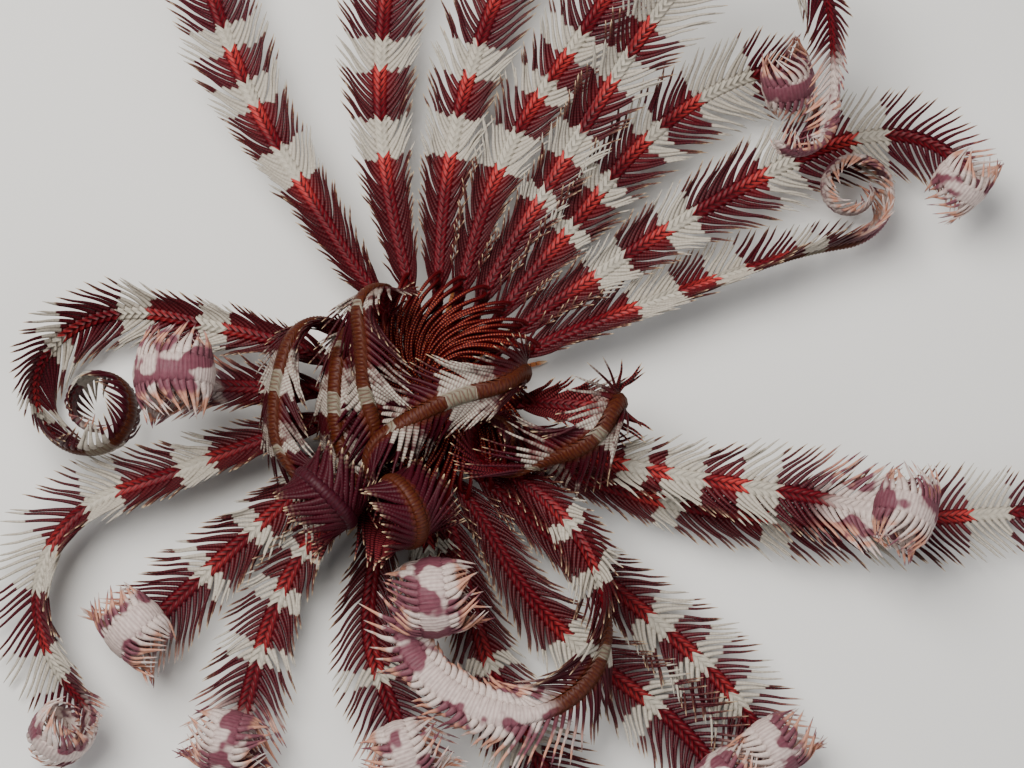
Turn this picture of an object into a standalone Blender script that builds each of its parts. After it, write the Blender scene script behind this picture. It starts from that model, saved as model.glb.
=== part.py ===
"""Indian feather star, life size, as a still model of the whole animal.

The animal rests with its mouth up (+Z) on the flat pole of its centrodorsal, whose
centre is the world origin, and on the feet of its cirri. Five rays branch into
twenty-six feathered arms. Sizes in this file are millimetres, and each mesh is
scaled to metres when it is made.
"""

import math
import random
from collections import namedtuple

import bmesh
import bpy
import numpy as np

MM = 0.001
COLLECTION_NAME = "feather_star"
GAP = 0.3
WELD = 0.26

# Centrodorsal: a low button with a straight column that carries the rays
POLE_RADIUS = 2.4
BUTTON_RADIUS = 3.3
BUTTON_HEIGHT = 3.0
COLUMN_TOP = 6.2
BUTTON_STEPS = 18
CIRRUS_COUNT = 18
CIRRUS_REACHES = (24.5, 19.0, 17.0, 15.5, 19.0, 17.0)
CIRRUS_RADIUS = 0.55
CIRRUS_SIDES = 4
CIRRUS_ROOT_DEPTH = 0.9
CIRRUS_FOOT_HEIGHT = 0.35

# Shares of a cirrus's reach, each with the height of its centre line there
CIRRUS_STOPS = ((0.0, 1.7), (0.25, 2.3), (0.5, 2.1), (0.75, 1.2), (0.92, 0.6), (1.0, 0.55))

# Disc: the soft tegmen over the rays, with its mouth and its anal tube
DISC_RADIUS = 7.6
DISC_STEPS = 20
DISC_PROFILE = (
    (0.0, 6.5), (6.4, 6.5), (7.6, 7.4), (7.0, 8.3), (4.7, 9.05), (2.0, 9.4), (0.75, 8.6),
    (0.0, 8.4),
)
DISC_MIDDLE = 8.1
ANAL_TUBE = (-3.6, -3.4)
ANAL_TUBE_SIDES = 8
ANAL_TUBE_RINGS = ((8.2, 1.17), (9.9, 0.9), (12.0, 0.54))

# Rays: a stem that starts at the column and one branch for each arm
RAY_ARM_COUNTS = (5, 5, 5, 5, 6)
STEM_START = BUTTON_RADIUS + GAP
STEM_END = 7.0
STEM_HALF_WIDTHS = (1.7, 2.1)
STEM_HEIGHTS = (4.6, 4.9)
STEM_HALF_HEIGHTS = (1.2, 1.0)
BRANCH_START = 5.4
BRANCH_SPREAD = 0.35
BRANCH_BACKSTEP = 3.0
BRANCH_RINGS = 3

# Arms: roots stand on a ring round the disc
ARM_COUNT = sum(RAY_ARM_COUNTS)
FIRST_AZIMUTH = -40.8
ROOT_RADIUS = 11.0
ROOT_HEIGHT = 7.0
STEP = 0.5
ARM_HALF_WIDTHS = (0.85, 1.15, 1.3, 1.2, 1.0, 0.6)
ARM_HALF_HEIGHTS = (0.85, 0.9, 0.9, 0.8, 0.6, 0.4)
ARM_TOP = 0.55
ARM_SIDE = 0.5
RING_SPACING = (5.6, 4.6)
LEAST_RINGS = 6
TURN_WEIGHT = 7.0

# Shares of an arm's length at which it is parted, with the names of its lengths
NEAR_SHARE = 0.42
SPLIT_SHARES = {"fan_5": (0.6,), "front_hook": (0.38, 0.7)}
LENGTH_NAMES = {2: ("near", "far"), 3: ("near", "middle", "far")}

# Pinnules: tapered rods in a row along each side of an arm, at even stations
PINNULE_SPACING = 3.45
PINNULE_FIRST = 5.0
PINNULE_LAST = 1.2
PINNULE_LENGTHS = (6.0, 7.5, 9.0, 8.5, 6.0, 2.5)
PINNULE_LEANS = (20, 32, 44, 50, 54, 58)
PINNULE_LIFTS = (54, 42, 28, 20, 12, 6)
PINNULE_RADIUS = 0.38
PINNULE_TAPER = 0.95
PINNULE_ARM_SHARE = 0.62
PINNULE_ROOT_OUT = 0.3
PINNULE_ROOT_DOWN = 0.12
PINNULE_ROOT_LIFT = 14
PINNULE_BEND = 0.45
PINNULE_HOOK = 0.45
ROD_SIDES = 3
PINNULE_SPREAD = 0.12
PINNULE_LEAN_SPREAD = 4.0
PINNULE_LIFT_SPREAD = 5.0
PINNULE_CLEAR = 0.42
FLOOR_CLEAR = 0.5
SEED = 11

# When a pinnule would touch a neighbour it tries these in turn: a change of its
# lean and of its lift in degrees, and a share of its length
PINNULE_TRIES = (
    (0, 0, 1.0), (-12, 6, 1.0), (0, 18, 0.95), (-16, 26, 0.9), (10, -14, 0.9), (-20, 10, 0.8),
    (0, 34, 0.75), (-24, 0, 0.7), (0, 50, 0.6), (-16, -20, 0.6), (0, 0, 0.5), (-20, 40, 0.45),
)

# Oral pinnules: one long stiff rod from each arm that arches in over the disc
ORAL_PINNULE_PLACE = 2.0
ORAL_PINNULE_TOPS = (12.6, 13.6)
ORAL_PINNULE_ENDS = ((5.6, 11.4), (3.4, 11.0))
ORAL_PINNULE_SWIRL = 14.0
ORAL_PINNULE_RISE = (10.2, 0.6)
ORAL_PINNULE_RADII = (0.4, 0.36, 0.32, 0.0)

# Radii of the round samples that stand for the branches, disc and its middle
# when pinnules look for room
BRANCH_SAMPLE_RADII = (1.4, 1.0, 0.8)
DISC_SAMPLE_RADII = (1.2, 1.2, 1.2, 1.35, 1.35)
DISC_SAMPLE_STEP = 0.8
DISC_SAMPLE_TURN = 10.0

# Each arm has headings and pitches in degrees at even stations along its main
# length, then a tip that rolls towards its mouth side. A pitch past 90 degrees
# leads back over the disc. Rolls at even stations turn the mouth side about the arm.
Arm = namedtuple("Arm", "name headings pitches main coil turns rolls")
ARMS = (
    Arm("right_low", (-26, -18, -8, -2, 4, 4), (3, -9, -3, 0, 0, 0), 88, 20, 0.6, (0, 0)),
    Arm("right", (-30, -16, -10, -8, -18), (25, 6, 0, 0, 0), 60, 34, 1.25, (0, 0)),
    Arm("right_fold", (1, -10, -8, 72, 15, 16), (46, 30, 0, 173, 210, 212),
        44, 24, 1.0, (3, -1, -7, -14, -22, 47)),
    Arm("over_disc", (-11, 5, 55, 11, 22, 28), (80, 57, 122, 179, 201, 186),
        38, 24, 1.0, (2, -2, -6, -10, -13, -90)),
    Arm("fan_8", (36, 22, 22, 20, 19, 8), (20, 0, -8, -4, 0, 0), 57, 40, 1.25, (0, 80)),
    Arm("fan_7", (48, 33, 36, 32, 30, 24, 0, -50), (20, 0, -6, -6, -2, 0, 4, 4),
        84, 24, 0.9, (0, -30)),
    Arm("fan_6", (58, 50, 52, 54, 44, 32, 16), (22, 4, -5, -5, -2, 0, 0), 62, 28, 1.1, (0, -40)),
    Arm("fan_5", (70, 57, 59, 57, 50, -5, -85, -95), (18, 5, 8, 16, 16, 4, -6, -4),
        106, 14, 0.4, (0, -60)),
    Arm("fan_4", (78, 74, 66, 57, 58, 60), (22, 4, -6, -6, -2, 0), 68, 34, 1.25, (0, 0)),
    Arm("fan_3", (88, 86, 80, 74, 68, 66), (20, 4, -6, -6, -4, 0), 70, 34, 1.25, (0, 0)),
    Arm("fan_2", (108, 102, 96, 88, 85, 84), (20, 4, -6, -6, -4, 0), 70, 34, 1.25, (0, 0)),
    Arm("fan_1", (136, 122, 123, 114, 108, 106), (20, 4, -6, -6, -4, 0), 74, 30, 1.2, (0, 0)),
    Arm("left_curl_3", (101, 89, 11, 99, 91, 112), (91, 51, 119, 186, 205, 200),
        38, 18, 0.6, (0, 0, 0, 0, 0, 76)),
    Arm("left_curl_2", (129, 166, 259, 265, 275, 299, 299), (76, 77, 21, -9, -14, -11, -8),
        38, 36, 1.0, (12, 30, 45, 51, 47, 39, -70)),
    Arm("left_curl_1", (126, 142, 201, 253, 259, 272, 305, 318), (28, 53, 38, 4, -12, -13, -12, 5),
        42, 36, 1.0, (14, 40, 61, 70, 70, 65, 55, -56)),
    Arm("left_1", (152, 162, 167, 166, 195, 240, 300), (15, 0, -5, -5, 0, 5, 5),
        62, 42, 1.2, (0, 70)),
    Arm("left_2", (180, 180, 180), (15, 10, 5), 24, 50, 1.6, (0, 0)),
    Arm("left_3", (198, 200, 201, 196, 240, 284, 316), (10, 0, -5, -6, -2, 0, 0),
        76, 32, 1.25, (0, -50)),
    Arm("left_4", (228, 222, 221, 224), (5, -8, -8, 0), 43, 34, 1.3, (0, 0)),
    Arm("left_5", (246, 232, 252, 258), (5, -8, -8, 0), 48, 34, 1.25, (0, 0)),
    Arm("front_1", (268, 262, 262, 290, 290), (10, -8, -10, 0, 0), 44, 34, 1.25, (0, 0)),
    Arm("front_2", (290, 285, 275), (15, 0, 0), 20, 46, 1.5, (0, 0)),
    Arm("front_3", (302, 284, 286, 300, 300), (10, -8, -12, 0, 0), 55, 32, 1.25, (0, 0)),
    Arm("front_4", (312, 298, 316, 326, 305), (8, -8, -10, 0, 0), 62, 32, 1.25, (0, 0)),
    Arm("front_5", (322, 320, 322, 318, 300), (5, -10, -8, 0, 0), 62, 32, 1.25, (0, 0)),
    Arm("front_hook", (325, 322, 300, 268, 215, 160, 128), (30, 12, 5, 0, 0, 0, 0),
        74, 18, 0.6, (0, -70)),
)

COLOURS = {
    "cirri_tan": (0.42, 0.17, 0.07, 1.0),
    "tegmen_maroon": (0.10, 0.015, 0.02, 1.0),
    "ray_maroon": (0.16, 0.03, 0.02, 1.0),
    "arm_maroon": (0.20, 0.035, 0.03, 1.0),
    "arm_tip_mauve": (0.42, 0.22, 0.25, 1.0),
}
SURFACE_ROUGHNESS = 0.55


def clear_scene():
    """Remove every object that the file starts with."""
    for item in list(bpy.data.objects):
        bpy.data.objects.remove(item, do_unlink=True)


def make_material(name):
    """A Principled material with the colour of one kind of surface."""
    material = bpy.data.materials.new(name)
    material.use_nodes = True
    shader = material.node_tree.nodes["Principled BSDF"]
    shader.inputs["Base Color"].default_value = COLOURS[name]
    shader.inputs["Roughness"].default_value = SURFACE_ROUGHNESS
    shader.inputs["Metallic"].default_value = 0.0
    return material


def unit(vector):
    """The vector scaled to length one."""
    return vector / np.linalg.norm(vector)


def polar(radius, azimuth, height):
    """A point at a radius and an azimuth in degrees about the world Z axis."""
    angle = math.radians(azimuth)
    return np.array([radius * math.cos(angle), radius * math.sin(angle), height])


def stations(values, share):
    """Values given at even stations from 0 to 1, read at the given shares."""
    return np.interp(share, np.linspace(0.0, 1.0, len(values)), values)


def smooth_stations(values, count):
    """Station values at count even places, with their corners averaged away."""
    raw = stations(values, np.linspace(0.0, 1.0, count))
    window = max(3, count // (2 * (len(values) - 1)))
    window += 1 - window % 2
    padded = np.pad(raw, window // 2, mode="edge")
    return np.convolve(padded, np.ones(window) / window, mode="valid")


def arm_azimuth(index):
    """The azimuth of an arm's root, in degrees."""
    return FIRST_AZIMUTH + 360.0 / ARM_COUNT * index


def arm_route(index):
    """Points, tangents and mouth-side vectors every STEP along one arm.

    The main length follows the headings and pitches. Its mouth-side vector starts
    nearest to +Z and is carried along without twist, then turned by the rolls. The
    tip is a flat coil towards the mouth side, which tightens as it goes.
    """
    arm = ARMS[index]
    count = int(arm.main / STEP) + 1
    heading = np.radians(smooth_stations(arm.headings, count))
    pitch = np.radians(smooth_stations(arm.pitches, count))
    level = np.cos(pitch)
    tangents = np.stack([level * np.cos(heading), level * np.sin(heading), np.sin(pitch)], 1)
    up = np.array([0.0, 0.0, 1.0])
    orals = [unit(up - tangents[0] * (up @ tangents[0]))]
    for tangent in tangents[1:]:
        orals.append(unit(orals[-1] - tangent * (orals[-1] @ tangent)))
    orals = np.array(orals)
    roll = np.radians(stations(arm.rolls, np.linspace(0.0, 1.0, count)))[:, None]
    orals = np.cos(roll) * orals + np.sin(roll) * np.cross(orals, tangents)
    share = np.arange(1, int(arm.coil / STEP) + 1) / int(arm.coil / STEP)
    angle = (math.pi * arm.turns * (share + share * share))[:, None]
    coil_tangents = np.cos(angle) * tangents[-1] + np.sin(angle) * orals[-1]
    coil_orals = np.cos(angle) * orals[-1] - np.sin(angle) * tangents[-1]
    tangents = np.vstack([tangents, coil_tangents])
    orals = np.vstack([orals, coil_orals])
    moves = 0.5 * (tangents[1:] + tangents[:-1]) * STEP
    root = polar(ROOT_RADIUS, arm_azimuth(index), ROOT_HEIGHT)
    points = root + np.vstack([np.zeros(3), np.cumsum(moves, axis=0)])
    return points, tangents, orals


def loft(name, rings, apex=None):
    """A closed mesh object through rings of equally many points.

    No modifier lofts between unlike sections, so the side faces are set here. The
    first ring is capped, and the last is capped or drawn to the apex, if any.
    """
    shape = bmesh.new()
    rows = [[shape.verts.new(point * MM) for point in ring] for ring in rings]
    sides = len(rows[0])
    for row, following in zip(rows, rows[1:]):
        for side in range(sides):
            beside = (side + 1) % sides
            shape.faces.new((row[side], row[beside], following[beside], following[side]))
    shape.faces.new(list(reversed(rows[0])))
    if apex is None:
        shape.faces.new(rows[-1])
    else:
        point = shape.verts.new(apex * MM)
        for side in range(sides):
            shape.faces.new((rows[-1][side], rows[-1][(side + 1) % sides], point))
    bmesh.ops.recalc_face_normals(shape, faces=shape.faces)
    mesh = bpy.data.meshes.new(name)
    shape.to_mesh(mesh)
    shape.free()
    return bpy.data.objects.new(name, mesh)


def arm_section(half_width, half_height):
    """Five section points of an arm: flat on top and at the sides, a keel beneath."""
    return (
        (half_width, ARM_TOP * half_height),
        (-half_width, ARM_TOP * half_height),
        (-half_width, -ARM_SIDE * half_height),
        (0.0, -half_height),
        (half_width, -ARM_SIDE * half_height),
    )


def place_section(section, point, tangent, oral):
    """The section's points in space, on the plane across the tangent."""
    lateral = np.cross(tangent, oral)
    return np.array([point + side * lateral + up * oral for side, up in section])


def ring_places(tangents, first, last, count):
    """Places from first to last, closer together where the arm turns."""
    turns = np.linalg.norm(np.diff(tangents[first:last + 1], axis=0), axis=1)
    travel = np.concatenate([[0.0], np.cumsum(STEP + TURN_WEIGHT * turns)])
    wanted = np.linspace(0.0, travel[-1], count)
    places = np.interp(wanted, travel, np.arange(first, last + 1))
    return np.unique(np.rint(places).astype(int))


def arm_length(name, route, first, last, ring_count, setback):
    """A bare length of an arm, from one place along its route to another."""
    points, tangents, orals = route
    rings = []
    for place in ring_places(tangents, first, last, ring_count):
        share = place / (len(points) - 1)
        section = arm_section(stations(ARM_HALF_WIDTHS, share), stations(ARM_HALF_HEIGHTS, share))
        rings.append(place_section(section, points[place], tangents[place], orals[place]))
    rings[0] = rings[0] - setback * tangents[first]
    return loft(name, rings)


class Neighbours:
    """Round samples of everything already placed, each with its node's number."""

    def __init__(self):
        self.centres = np.zeros((0, 3))
        self.radii = np.zeros(0)
        self.owners = np.zeros(0, dtype=int)

    def add(self, centres, radii, owner):
        """Put in samples that belong to one node."""
        self.centres = np.vstack([self.centres, centres])
        self.radii = np.concatenate([self.radii, radii])
        self.owners = np.concatenate([self.owners, np.full(len(centres), owner)])

    def clear_of(self, centres, radii, owner, margin):
        """Whether samples keep the margin to every sample of the other nodes."""
        others = self.owners != owner
        apart = np.linalg.norm(centres[:, None] - self.centres[others][None], axis=2)
        apart -= radii[:, None] + self.radii[others][None]
        return apart.size == 0 or apart.min() > margin


def along_line(stops, radii, spacing=0.7):
    """Points and radii read at even steps along a bent line."""
    stops = np.array(stops)
    lengths = np.concatenate([[0.0], np.cumsum(np.linalg.norm(np.diff(stops, axis=0), axis=1))])
    wanted = np.linspace(0.0, lengths[-1], max(3, int(lengths[-1] / spacing)))
    centres = np.stack([np.interp(wanted, lengths, stops[:, k]) for k in range(3)], 1)
    return centres, np.interp(wanted, lengths, radii)


def rod(stops, radii, upward):
    """A closed three-sided rod through the stops, with an edge upward and a point at the end."""
    stops = np.array(stops)
    angles = np.linspace(0.0, 2 * math.pi, ROD_SIDES, endpoint=False)
    rings = []
    for place, stop in enumerate(stops[:-1]):
        before = stops[max(place - 1, 0)]
        along = unit(stops[place + 1] - before)
        across = unit(upward - along * (upward @ along))
        section = np.stack([-radii[place] * np.sin(angles), radii[place] * np.cos(angles)], 1)
        rings.append(place_section(section, stop, along, across))
    return loft("rod", rings, stops[-1])


def pinnule_stops(route, place, side, lean, lift, length):
    """Root, bend and tip of a pinnule, leaning to the arm's tip, lifted to the mouth side.

    It leaves through the arm's side at no more than PINNULE_ROOT_LIFT, and curls
    past its lift beyond the bend.
    """
    points, tangents, orals = route
    share = place / (len(points) - 1)
    oral = orals[place]
    lateral = np.cross(tangents[place], oral) * side
    low = math.radians(min(lift, PINNULE_ROOT_LIFT))
    high = math.radians(lift + max(0.0, lift - PINNULE_ROOT_LIFT))
    lean = math.radians(lean)
    low_out = math.cos(low) * lateral + math.sin(low) * oral
    high_out = math.cos(high) * lateral + math.sin(high) * oral
    start = math.cos(lean) * tangents[place] + math.sin(lean) * low_out
    onward = math.cos(lean) * tangents[place] + math.sin(lean) * high_out
    hooked = unit(onward + PINNULE_HOOK * tangents[place])
    root = points[place] + lateral * PINNULE_ROOT_OUT * stations(ARM_HALF_WIDTHS, share)
    root = root - oral * PINNULE_ROOT_DOWN * stations(ARM_HALF_HEIGHTS, share)
    bend = root + start * PINNULE_BEND * length
    return root, bend, bend + hooked * (1.0 - PINNULE_BEND) * length


def grow_pinnule(route, place, side, owner, neighbours, draws):
    """A pinnule's stops and radii at one place, or None where there is no room."""
    share = place / (len(route[0]) - 1)
    length = stations(PINNULE_LENGTHS, share) * (1.0 + PINNULE_SPREAD * draws.uniform(-1.0, 1.0))
    lean = stations(PINNULE_LEANS, share) + PINNULE_LEAN_SPREAD * draws.uniform(-1.0, 1.0)
    lift = stations(PINNULE_LIFTS, share) + PINNULE_LIFT_SPREAD * draws.uniform(-1.0, 1.0)
    thick = min(PINNULE_RADIUS, PINNULE_ARM_SHARE * stations(ARM_HALF_HEIGHTS, share))
    radii = (thick, PINNULE_TAPER * thick, 0.0)
    for lean_change, lift_change, shortening in PINNULE_TRIES:
        stops = pinnule_stops(route, place, side, lean + lean_change, lift + lift_change,
                              length * shortening)
        centres, sizes = along_line(stops, radii)
        if (centres[:, 2] - sizes).min() < FLOOR_CLEAR:
            continue
        if neighbours.clear_of(centres, sizes, owner, PINNULE_CLEAR):
            neighbours.add(centres[1:], sizes[1:], owner)
            return stops, radii
    return None


def oral_pinnule_stops(index, route):
    """Root, top, end and tip of the rod that arches over the disc from one arm."""
    place = int(ORAL_PINNULE_PLACE / STEP)
    points, _, orals = route
    azimuth = arm_azimuth(index)
    top = ORAL_PINNULE_TOPS[index % 2]
    end_radius, end_height = ORAL_PINNULE_ENDS[index % 2]
    root = points[place] - orals[place] * PINNULE_ROOT_DOWN
    rise_radius, rise_share = ORAL_PINNULE_RISE
    rise = polar(rise_radius, azimuth, rise_share * top + (1.0 - rise_share) * root[2])
    crest = polar(0.5 * (ROOT_RADIUS + end_radius), azimuth + 0.5 * ORAL_PINNULE_SWIRL, top)
    tip = polar(end_radius, azimuth + ORAL_PINNULE_SWIRL, end_height)
    return root, rise, crest, tip


def sample_bodies(routes, neighbours):
    """Put the arms, rays, disc and cirri among the neighbours that pinnules avoid."""
    owner = 0
    for index, route in enumerate(routes):
        points = route[0]
        for first, last in arm_spans(index, len(points) - 1):
            shares = np.arange(first, last + 1) / (len(points) - 1)
            neighbours.add(points[first:last + 1], stations(ARM_HALF_WIDTHS, shares), owner)
            owner += 1
    for index, (points, tangents, _) in enumerate(routes):
        stem = polar(STEM_START, arm_azimuth(index), STEM_HEIGHTS[0])
        bend = points[0] - tangents[0] * BRANCH_BACKSTEP
        finish = points[0] - tangents[0] * GAP
        centres, radii = along_line((stem, bend, finish), BRANCH_SAMPLE_RADII)
        neighbours.add(centres, radii, -1)
    for ring_radius in np.arange(0.0, DISC_RADIUS, DISC_SAMPLE_STEP):
        turns = np.arange(0.0, 360.0, DISC_SAMPLE_TURN)
        rim = np.array([polar(ring_radius, turn, DISC_MIDDLE) for turn in turns])
        thick = stations(DISC_SAMPLE_RADII, ring_radius / DISC_RADIUS)
        neighbours.add(rim, np.full(len(rim), thick), -1)
    for number in range(CIRRUS_COUNT):
        centres, radii = along_line(cirrus_middles(number), [CIRRUS_RADIUS] * len(CIRRUS_STOPS))
        neighbours.add(centres, radii, -1)


def arm_spans(index, end):
    """First and last places of an arm's lengths, in order from its root."""
    cuts = [int(share * end) for share in SPLIT_SHARES.get(ARMS[index].name, (NEAR_SHARE,))]
    firsts = [0] + [cut + 1 for cut in cuts]
    return list(zip(firsts, cuts + [end]))


def plan_lengths(routes):
    """One entry for each length of each arm: its arm, its number, and its places."""
    plans = []
    for index, route in enumerate(routes):
        for number, (first, last) in enumerate(arm_spans(index, len(route[0]) - 1)):
            plans.append((index, number, first, last))
    return plans


def grow_oral_pinnules(routes, plans, neighbours):
    """The oral pinnule of each arm's first length, wherever there is room for it."""
    grown = [[] for _ in plans]
    for owner, (index, number, _, _) in enumerate(plans):
        if number == 0:
            stops = oral_pinnule_stops(index, routes[index])
            centres, sizes = along_line(stops, ORAL_PINNULE_RADII)
            if neighbours.clear_of(centres[2:], sizes[2:], owner, PINNULE_CLEAR):
                neighbours.add(centres[2:], sizes[2:], owner)
                grown[owner].append((stops, ORAL_PINNULE_RADII, routes[index][0][0] * (1, 1, 0)))
    return grown


def grow_row(route, first, last, owner, neighbours, draws):
    """The pinnules of one length, on alternate sides at even places."""
    end = len(route[0]) - 1
    stop = min(last - 2, end - int(PINNULE_LAST / STEP))
    step = PINNULE_SPACING / STEP
    grown = []
    for number in range(int((end - PINNULE_FIRST / STEP) / step)):
        place = int(PINNULE_FIRST / STEP + number * step)
        if first + 2 <= place <= stop:
            side = 1 if number % 2 else -1
            found = grow_pinnule(route, place, side, owner, neighbours, draws)
            if found:
                grown.append((*found, route[2][place]))
    return grown


def make_arms(routes):
    """The lengths of each arm, each one body with its pinnules."""
    neighbours = Neighbours()
    sample_bodies(routes, neighbours)
    draws = random.Random(SEED)
    plans = plan_lengths(routes)
    rods = grow_oral_pinnules(routes, plans, neighbours)
    for owner, (index, _, first, last) in enumerate(plans):
        rods[owner] += grow_row(routes[index], first, last, owner, neighbours, draws)
    nodes = []
    for owner, (index, number, first, last) in enumerate(plans):
        names = LENGTH_NAMES[len(SPLIT_SHARES.get(ARMS[index].name, (NEAR_SHARE,))) + 1]
        rings = round((last - first) * STEP / RING_SPACING[min(number, 1)])
        setback = 0.0 if first == 0 else STEP - GAP
        name = f"arm_{ARMS[index].name}_{names[number]}"
        bare = arm_length(name, routes[index], first, last, max(rings, LEAST_RINGS), setback)
        slot = "arm_maroon" if number == 0 else "arm_tip_mauve"
        nodes.append((union(name, [bare] + [rod(*sizes) for sizes in rods[owner]]), slot))
    return nodes


def union(name, pieces):
    """One closed mesh object from closed pieces that overlap."""
    cutters = bpy.data.collections.new(f"{name}_pieces")
    base = pieces[0]
    bpy.context.scene.collection.objects.link(base)
    for piece in pieces[1:]:
        cutters.objects.link(piece)
    join = base.modifiers.new("join", "BOOLEAN")
    join.operation = "UNION"
    join.operand_type = "COLLECTION"
    join.collection = cutters
    join.solver = "MANIFOLD"
    bpy.context.view_layer.update()
    evaluated = base.evaluated_get(bpy.context.evaluated_depsgraph_get())
    mesh = bpy.data.meshes.new_from_object(evaluated)
    for piece in pieces:
        bpy.data.objects.remove(piece, do_unlink=True)
    bpy.data.collections.remove(cutters)
    mesh.name = name
    keep_largest_surface(mesh)
    return bpy.data.objects.new(name, mesh)


def keep_largest_surface(mesh):
    """Delete every closed surface of the mesh but the one with most room inside."""
    shape = bmesh.new()
    shape.from_mesh(mesh)
    while merge_a_short_edge(shape):
        pass
    waiting = set(shape.verts)
    groups = []
    while waiting:
        group = set()
        edge = [waiting.pop()]
        while edge:
            vertex = edge.pop()
            group.add(vertex)
            for link in vertex.link_edges:
                other = link.other_vert(vertex)
                if other in waiting:
                    waiting.remove(other)
                    edge.append(other)
        groups.append(group)
    if len(groups) > 1:
        groups.sort(key=surface_volume)
        for group in groups[:-1]:
            bmesh.ops.delete(shape, geom=list(group), context="VERTS")
    shape.to_mesh(mesh)
    shape.free()


def merge_a_short_edge(shape):
    """Merge the ends of one edge shorter than WELD, if any can go and leave it closed.

    The ends may have no face in common but the edge's two, and no neighbour in
    common but the far corners of those two where they are triangles.
    """
    for edge in shape.edges:
        if edge.calc_length() < WELD * MM and edge.is_manifold:
            first, second = edge.verts
            faces = set(first.link_faces) & set(second.link_faces)
            around = [{link.other_vert(end) for link in end.link_edges} for end in edge.verts]
            corners = {vertex for face in faces if len(face.verts) == 3 for vertex in face.verts}
            shared = around[0] & around[1]
            if len(faces) == 2 and shared <= corners and all(
                    len(vertex.link_edges) > 3 for vertex in shared):
                middle = (first.co + second.co) / 2
                bmesh.ops.pointmerge(shape, verts=[first, second], merge_co=middle)
                return True
    return False


def surface_volume(vertices):
    """The volume that the faces round a set of vertices enclose."""
    faces = {face for vertex in vertices for face in vertex.link_faces}
    total = 0.0
    for face in faces:
        corners = [vertex.co for vertex in face.verts]
        for second, third in zip(corners[1:], corners[2:]):
            total += corners[0].dot(second.cross(third))
    return total


def stem_section(half_width, half_height):
    """Six section points of a ray's stem, wider than high."""
    return (
        (half_width, 0.5 * half_height),
        (0.6 * half_width, half_height),
        (-0.6 * half_width, half_height),
        (-half_width, 0.5 * half_height),
        (-0.6 * half_width, -half_height),
        (0.6 * half_width, -half_height),
    )


def make_ray(number, first_arm, routes):
    """One ray: a stem off the column, and a branch to each of its arms' roots."""
    count = RAY_ARM_COUNTS[number]
    axis_azimuth = arm_azimuth(first_arm + (count - 1) / 2)
    outward = polar(1.0, axis_azimuth, 0.0)
    up = np.array([0.0, 0.0, 1.0])
    rings = []
    for share in (0.0, 1.0):
        radius = stations((STEM_START, STEM_END), share)
        section = stem_section(stations(STEM_HALF_WIDTHS, share),
                               stations(STEM_HALF_HEIGHTS, share))
        middle = polar(radius, axis_azimuth, stations(STEM_HEIGHTS, share))
        rings.append(place_section(section, middle, outward, up))
    pieces = [loft("stem", rings)]
    for arm_index in range(first_arm, first_arm + count):
        points, tangents, orals = routes[arm_index]
        spread = arm_azimuth(arm_index) - axis_azimuth
        start = polar(BRANCH_START, axis_azimuth + BRANCH_SPREAD * spread, STEM_HEIGHTS[1])
        bend = points[0] - tangents[0] * BRANCH_BACKSTEP
        finish = points[0] - tangents[0] * GAP
        rings = []
        for t in np.linspace(0.0, 1.0, BRANCH_RINGS):
            middle = (1 - t) ** 2 * start + 2 * t * (1 - t) * bend + t * t * finish
            along = unit((1 - t) * (bend - start) + t * (finish - bend))
            side = unit(np.cross(along, (1 - t) * up + t * orals[0]))
            section = arm_section(ARM_HALF_WIDTHS[0], ARM_HALF_HEIGHTS[0])
            rings.append(place_section(section, middle, along, np.cross(side, along)))
        pieces.append(loft("branch", rings))
    return union(f"ray_{number + 1}", pieces)


def turned(name, profile, steps):
    """A closed solid of revolution about Z, from profile points (radius, height)."""
    shape = bmesh.new()
    line = [shape.verts.new((radius * MM, 0.0, height * MM)) for radius, height in profile]
    edges = [shape.edges.new(pair) for pair in zip(line, line[1:])]
    bmesh.ops.spin(shape, geom=line + edges, cent=(0, 0, 0), axis=(0, 0, 1),
                   angle=2 * math.pi, steps=steps, use_duplicate=False)
    bmesh.ops.remove_doubles(shape, verts=shape.verts, dist=0.00001)
    bmesh.ops.recalc_face_normals(shape, faces=shape.faces)
    mesh = bpy.data.meshes.new(name)
    shape.to_mesh(mesh)
    shape.free()
    return bpy.data.objects.new(name, mesh)


def cirrus_middles(number):
    """The centre line of one cirrus, from the button out and down to the floor."""
    azimuth = 360.0 / CIRRUS_COUNT * number
    reach = CIRRUS_REACHES[number % len(CIRRUS_REACHES)]
    start = BUTTON_RADIUS - CIRRUS_ROOT_DEPTH
    return [polar(start + share * (reach - start), azimuth, height)
            for share, height in CIRRUS_STOPS]


def make_cirrus(number):
    """One cirrus, tapered, with the flat of its foot on the floor."""
    middles = cirrus_middles(number)
    radii = CIRRUS_RADIUS * np.linspace(1.0, 0.75, len(middles))
    angles = np.linspace(0.0, 2 * math.pi, CIRRUS_SIDES, endpoint=False)
    up = np.array([0.0, 0.0, 1.0])
    rings = []
    for place, middle in enumerate(middles):
        before = middles[max(place - 1, 0)]
        after = middles[min(place + 1, len(middles) - 1)]
        along = unit(after - before)
        side = unit(np.cross(along, up))
        section = np.stack([radii[place] * np.cos(angles), radii[place] * np.sin(angles)], 1)
        rings.append(place_section(section, middle, along, np.cross(side, along)))
    for ring in rings[-2:]:
        ring[ring[:, 2] < CIRRUS_FOOT_HEIGHT, 2] = 0.0
    return loft("cirrus", rings)


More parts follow.
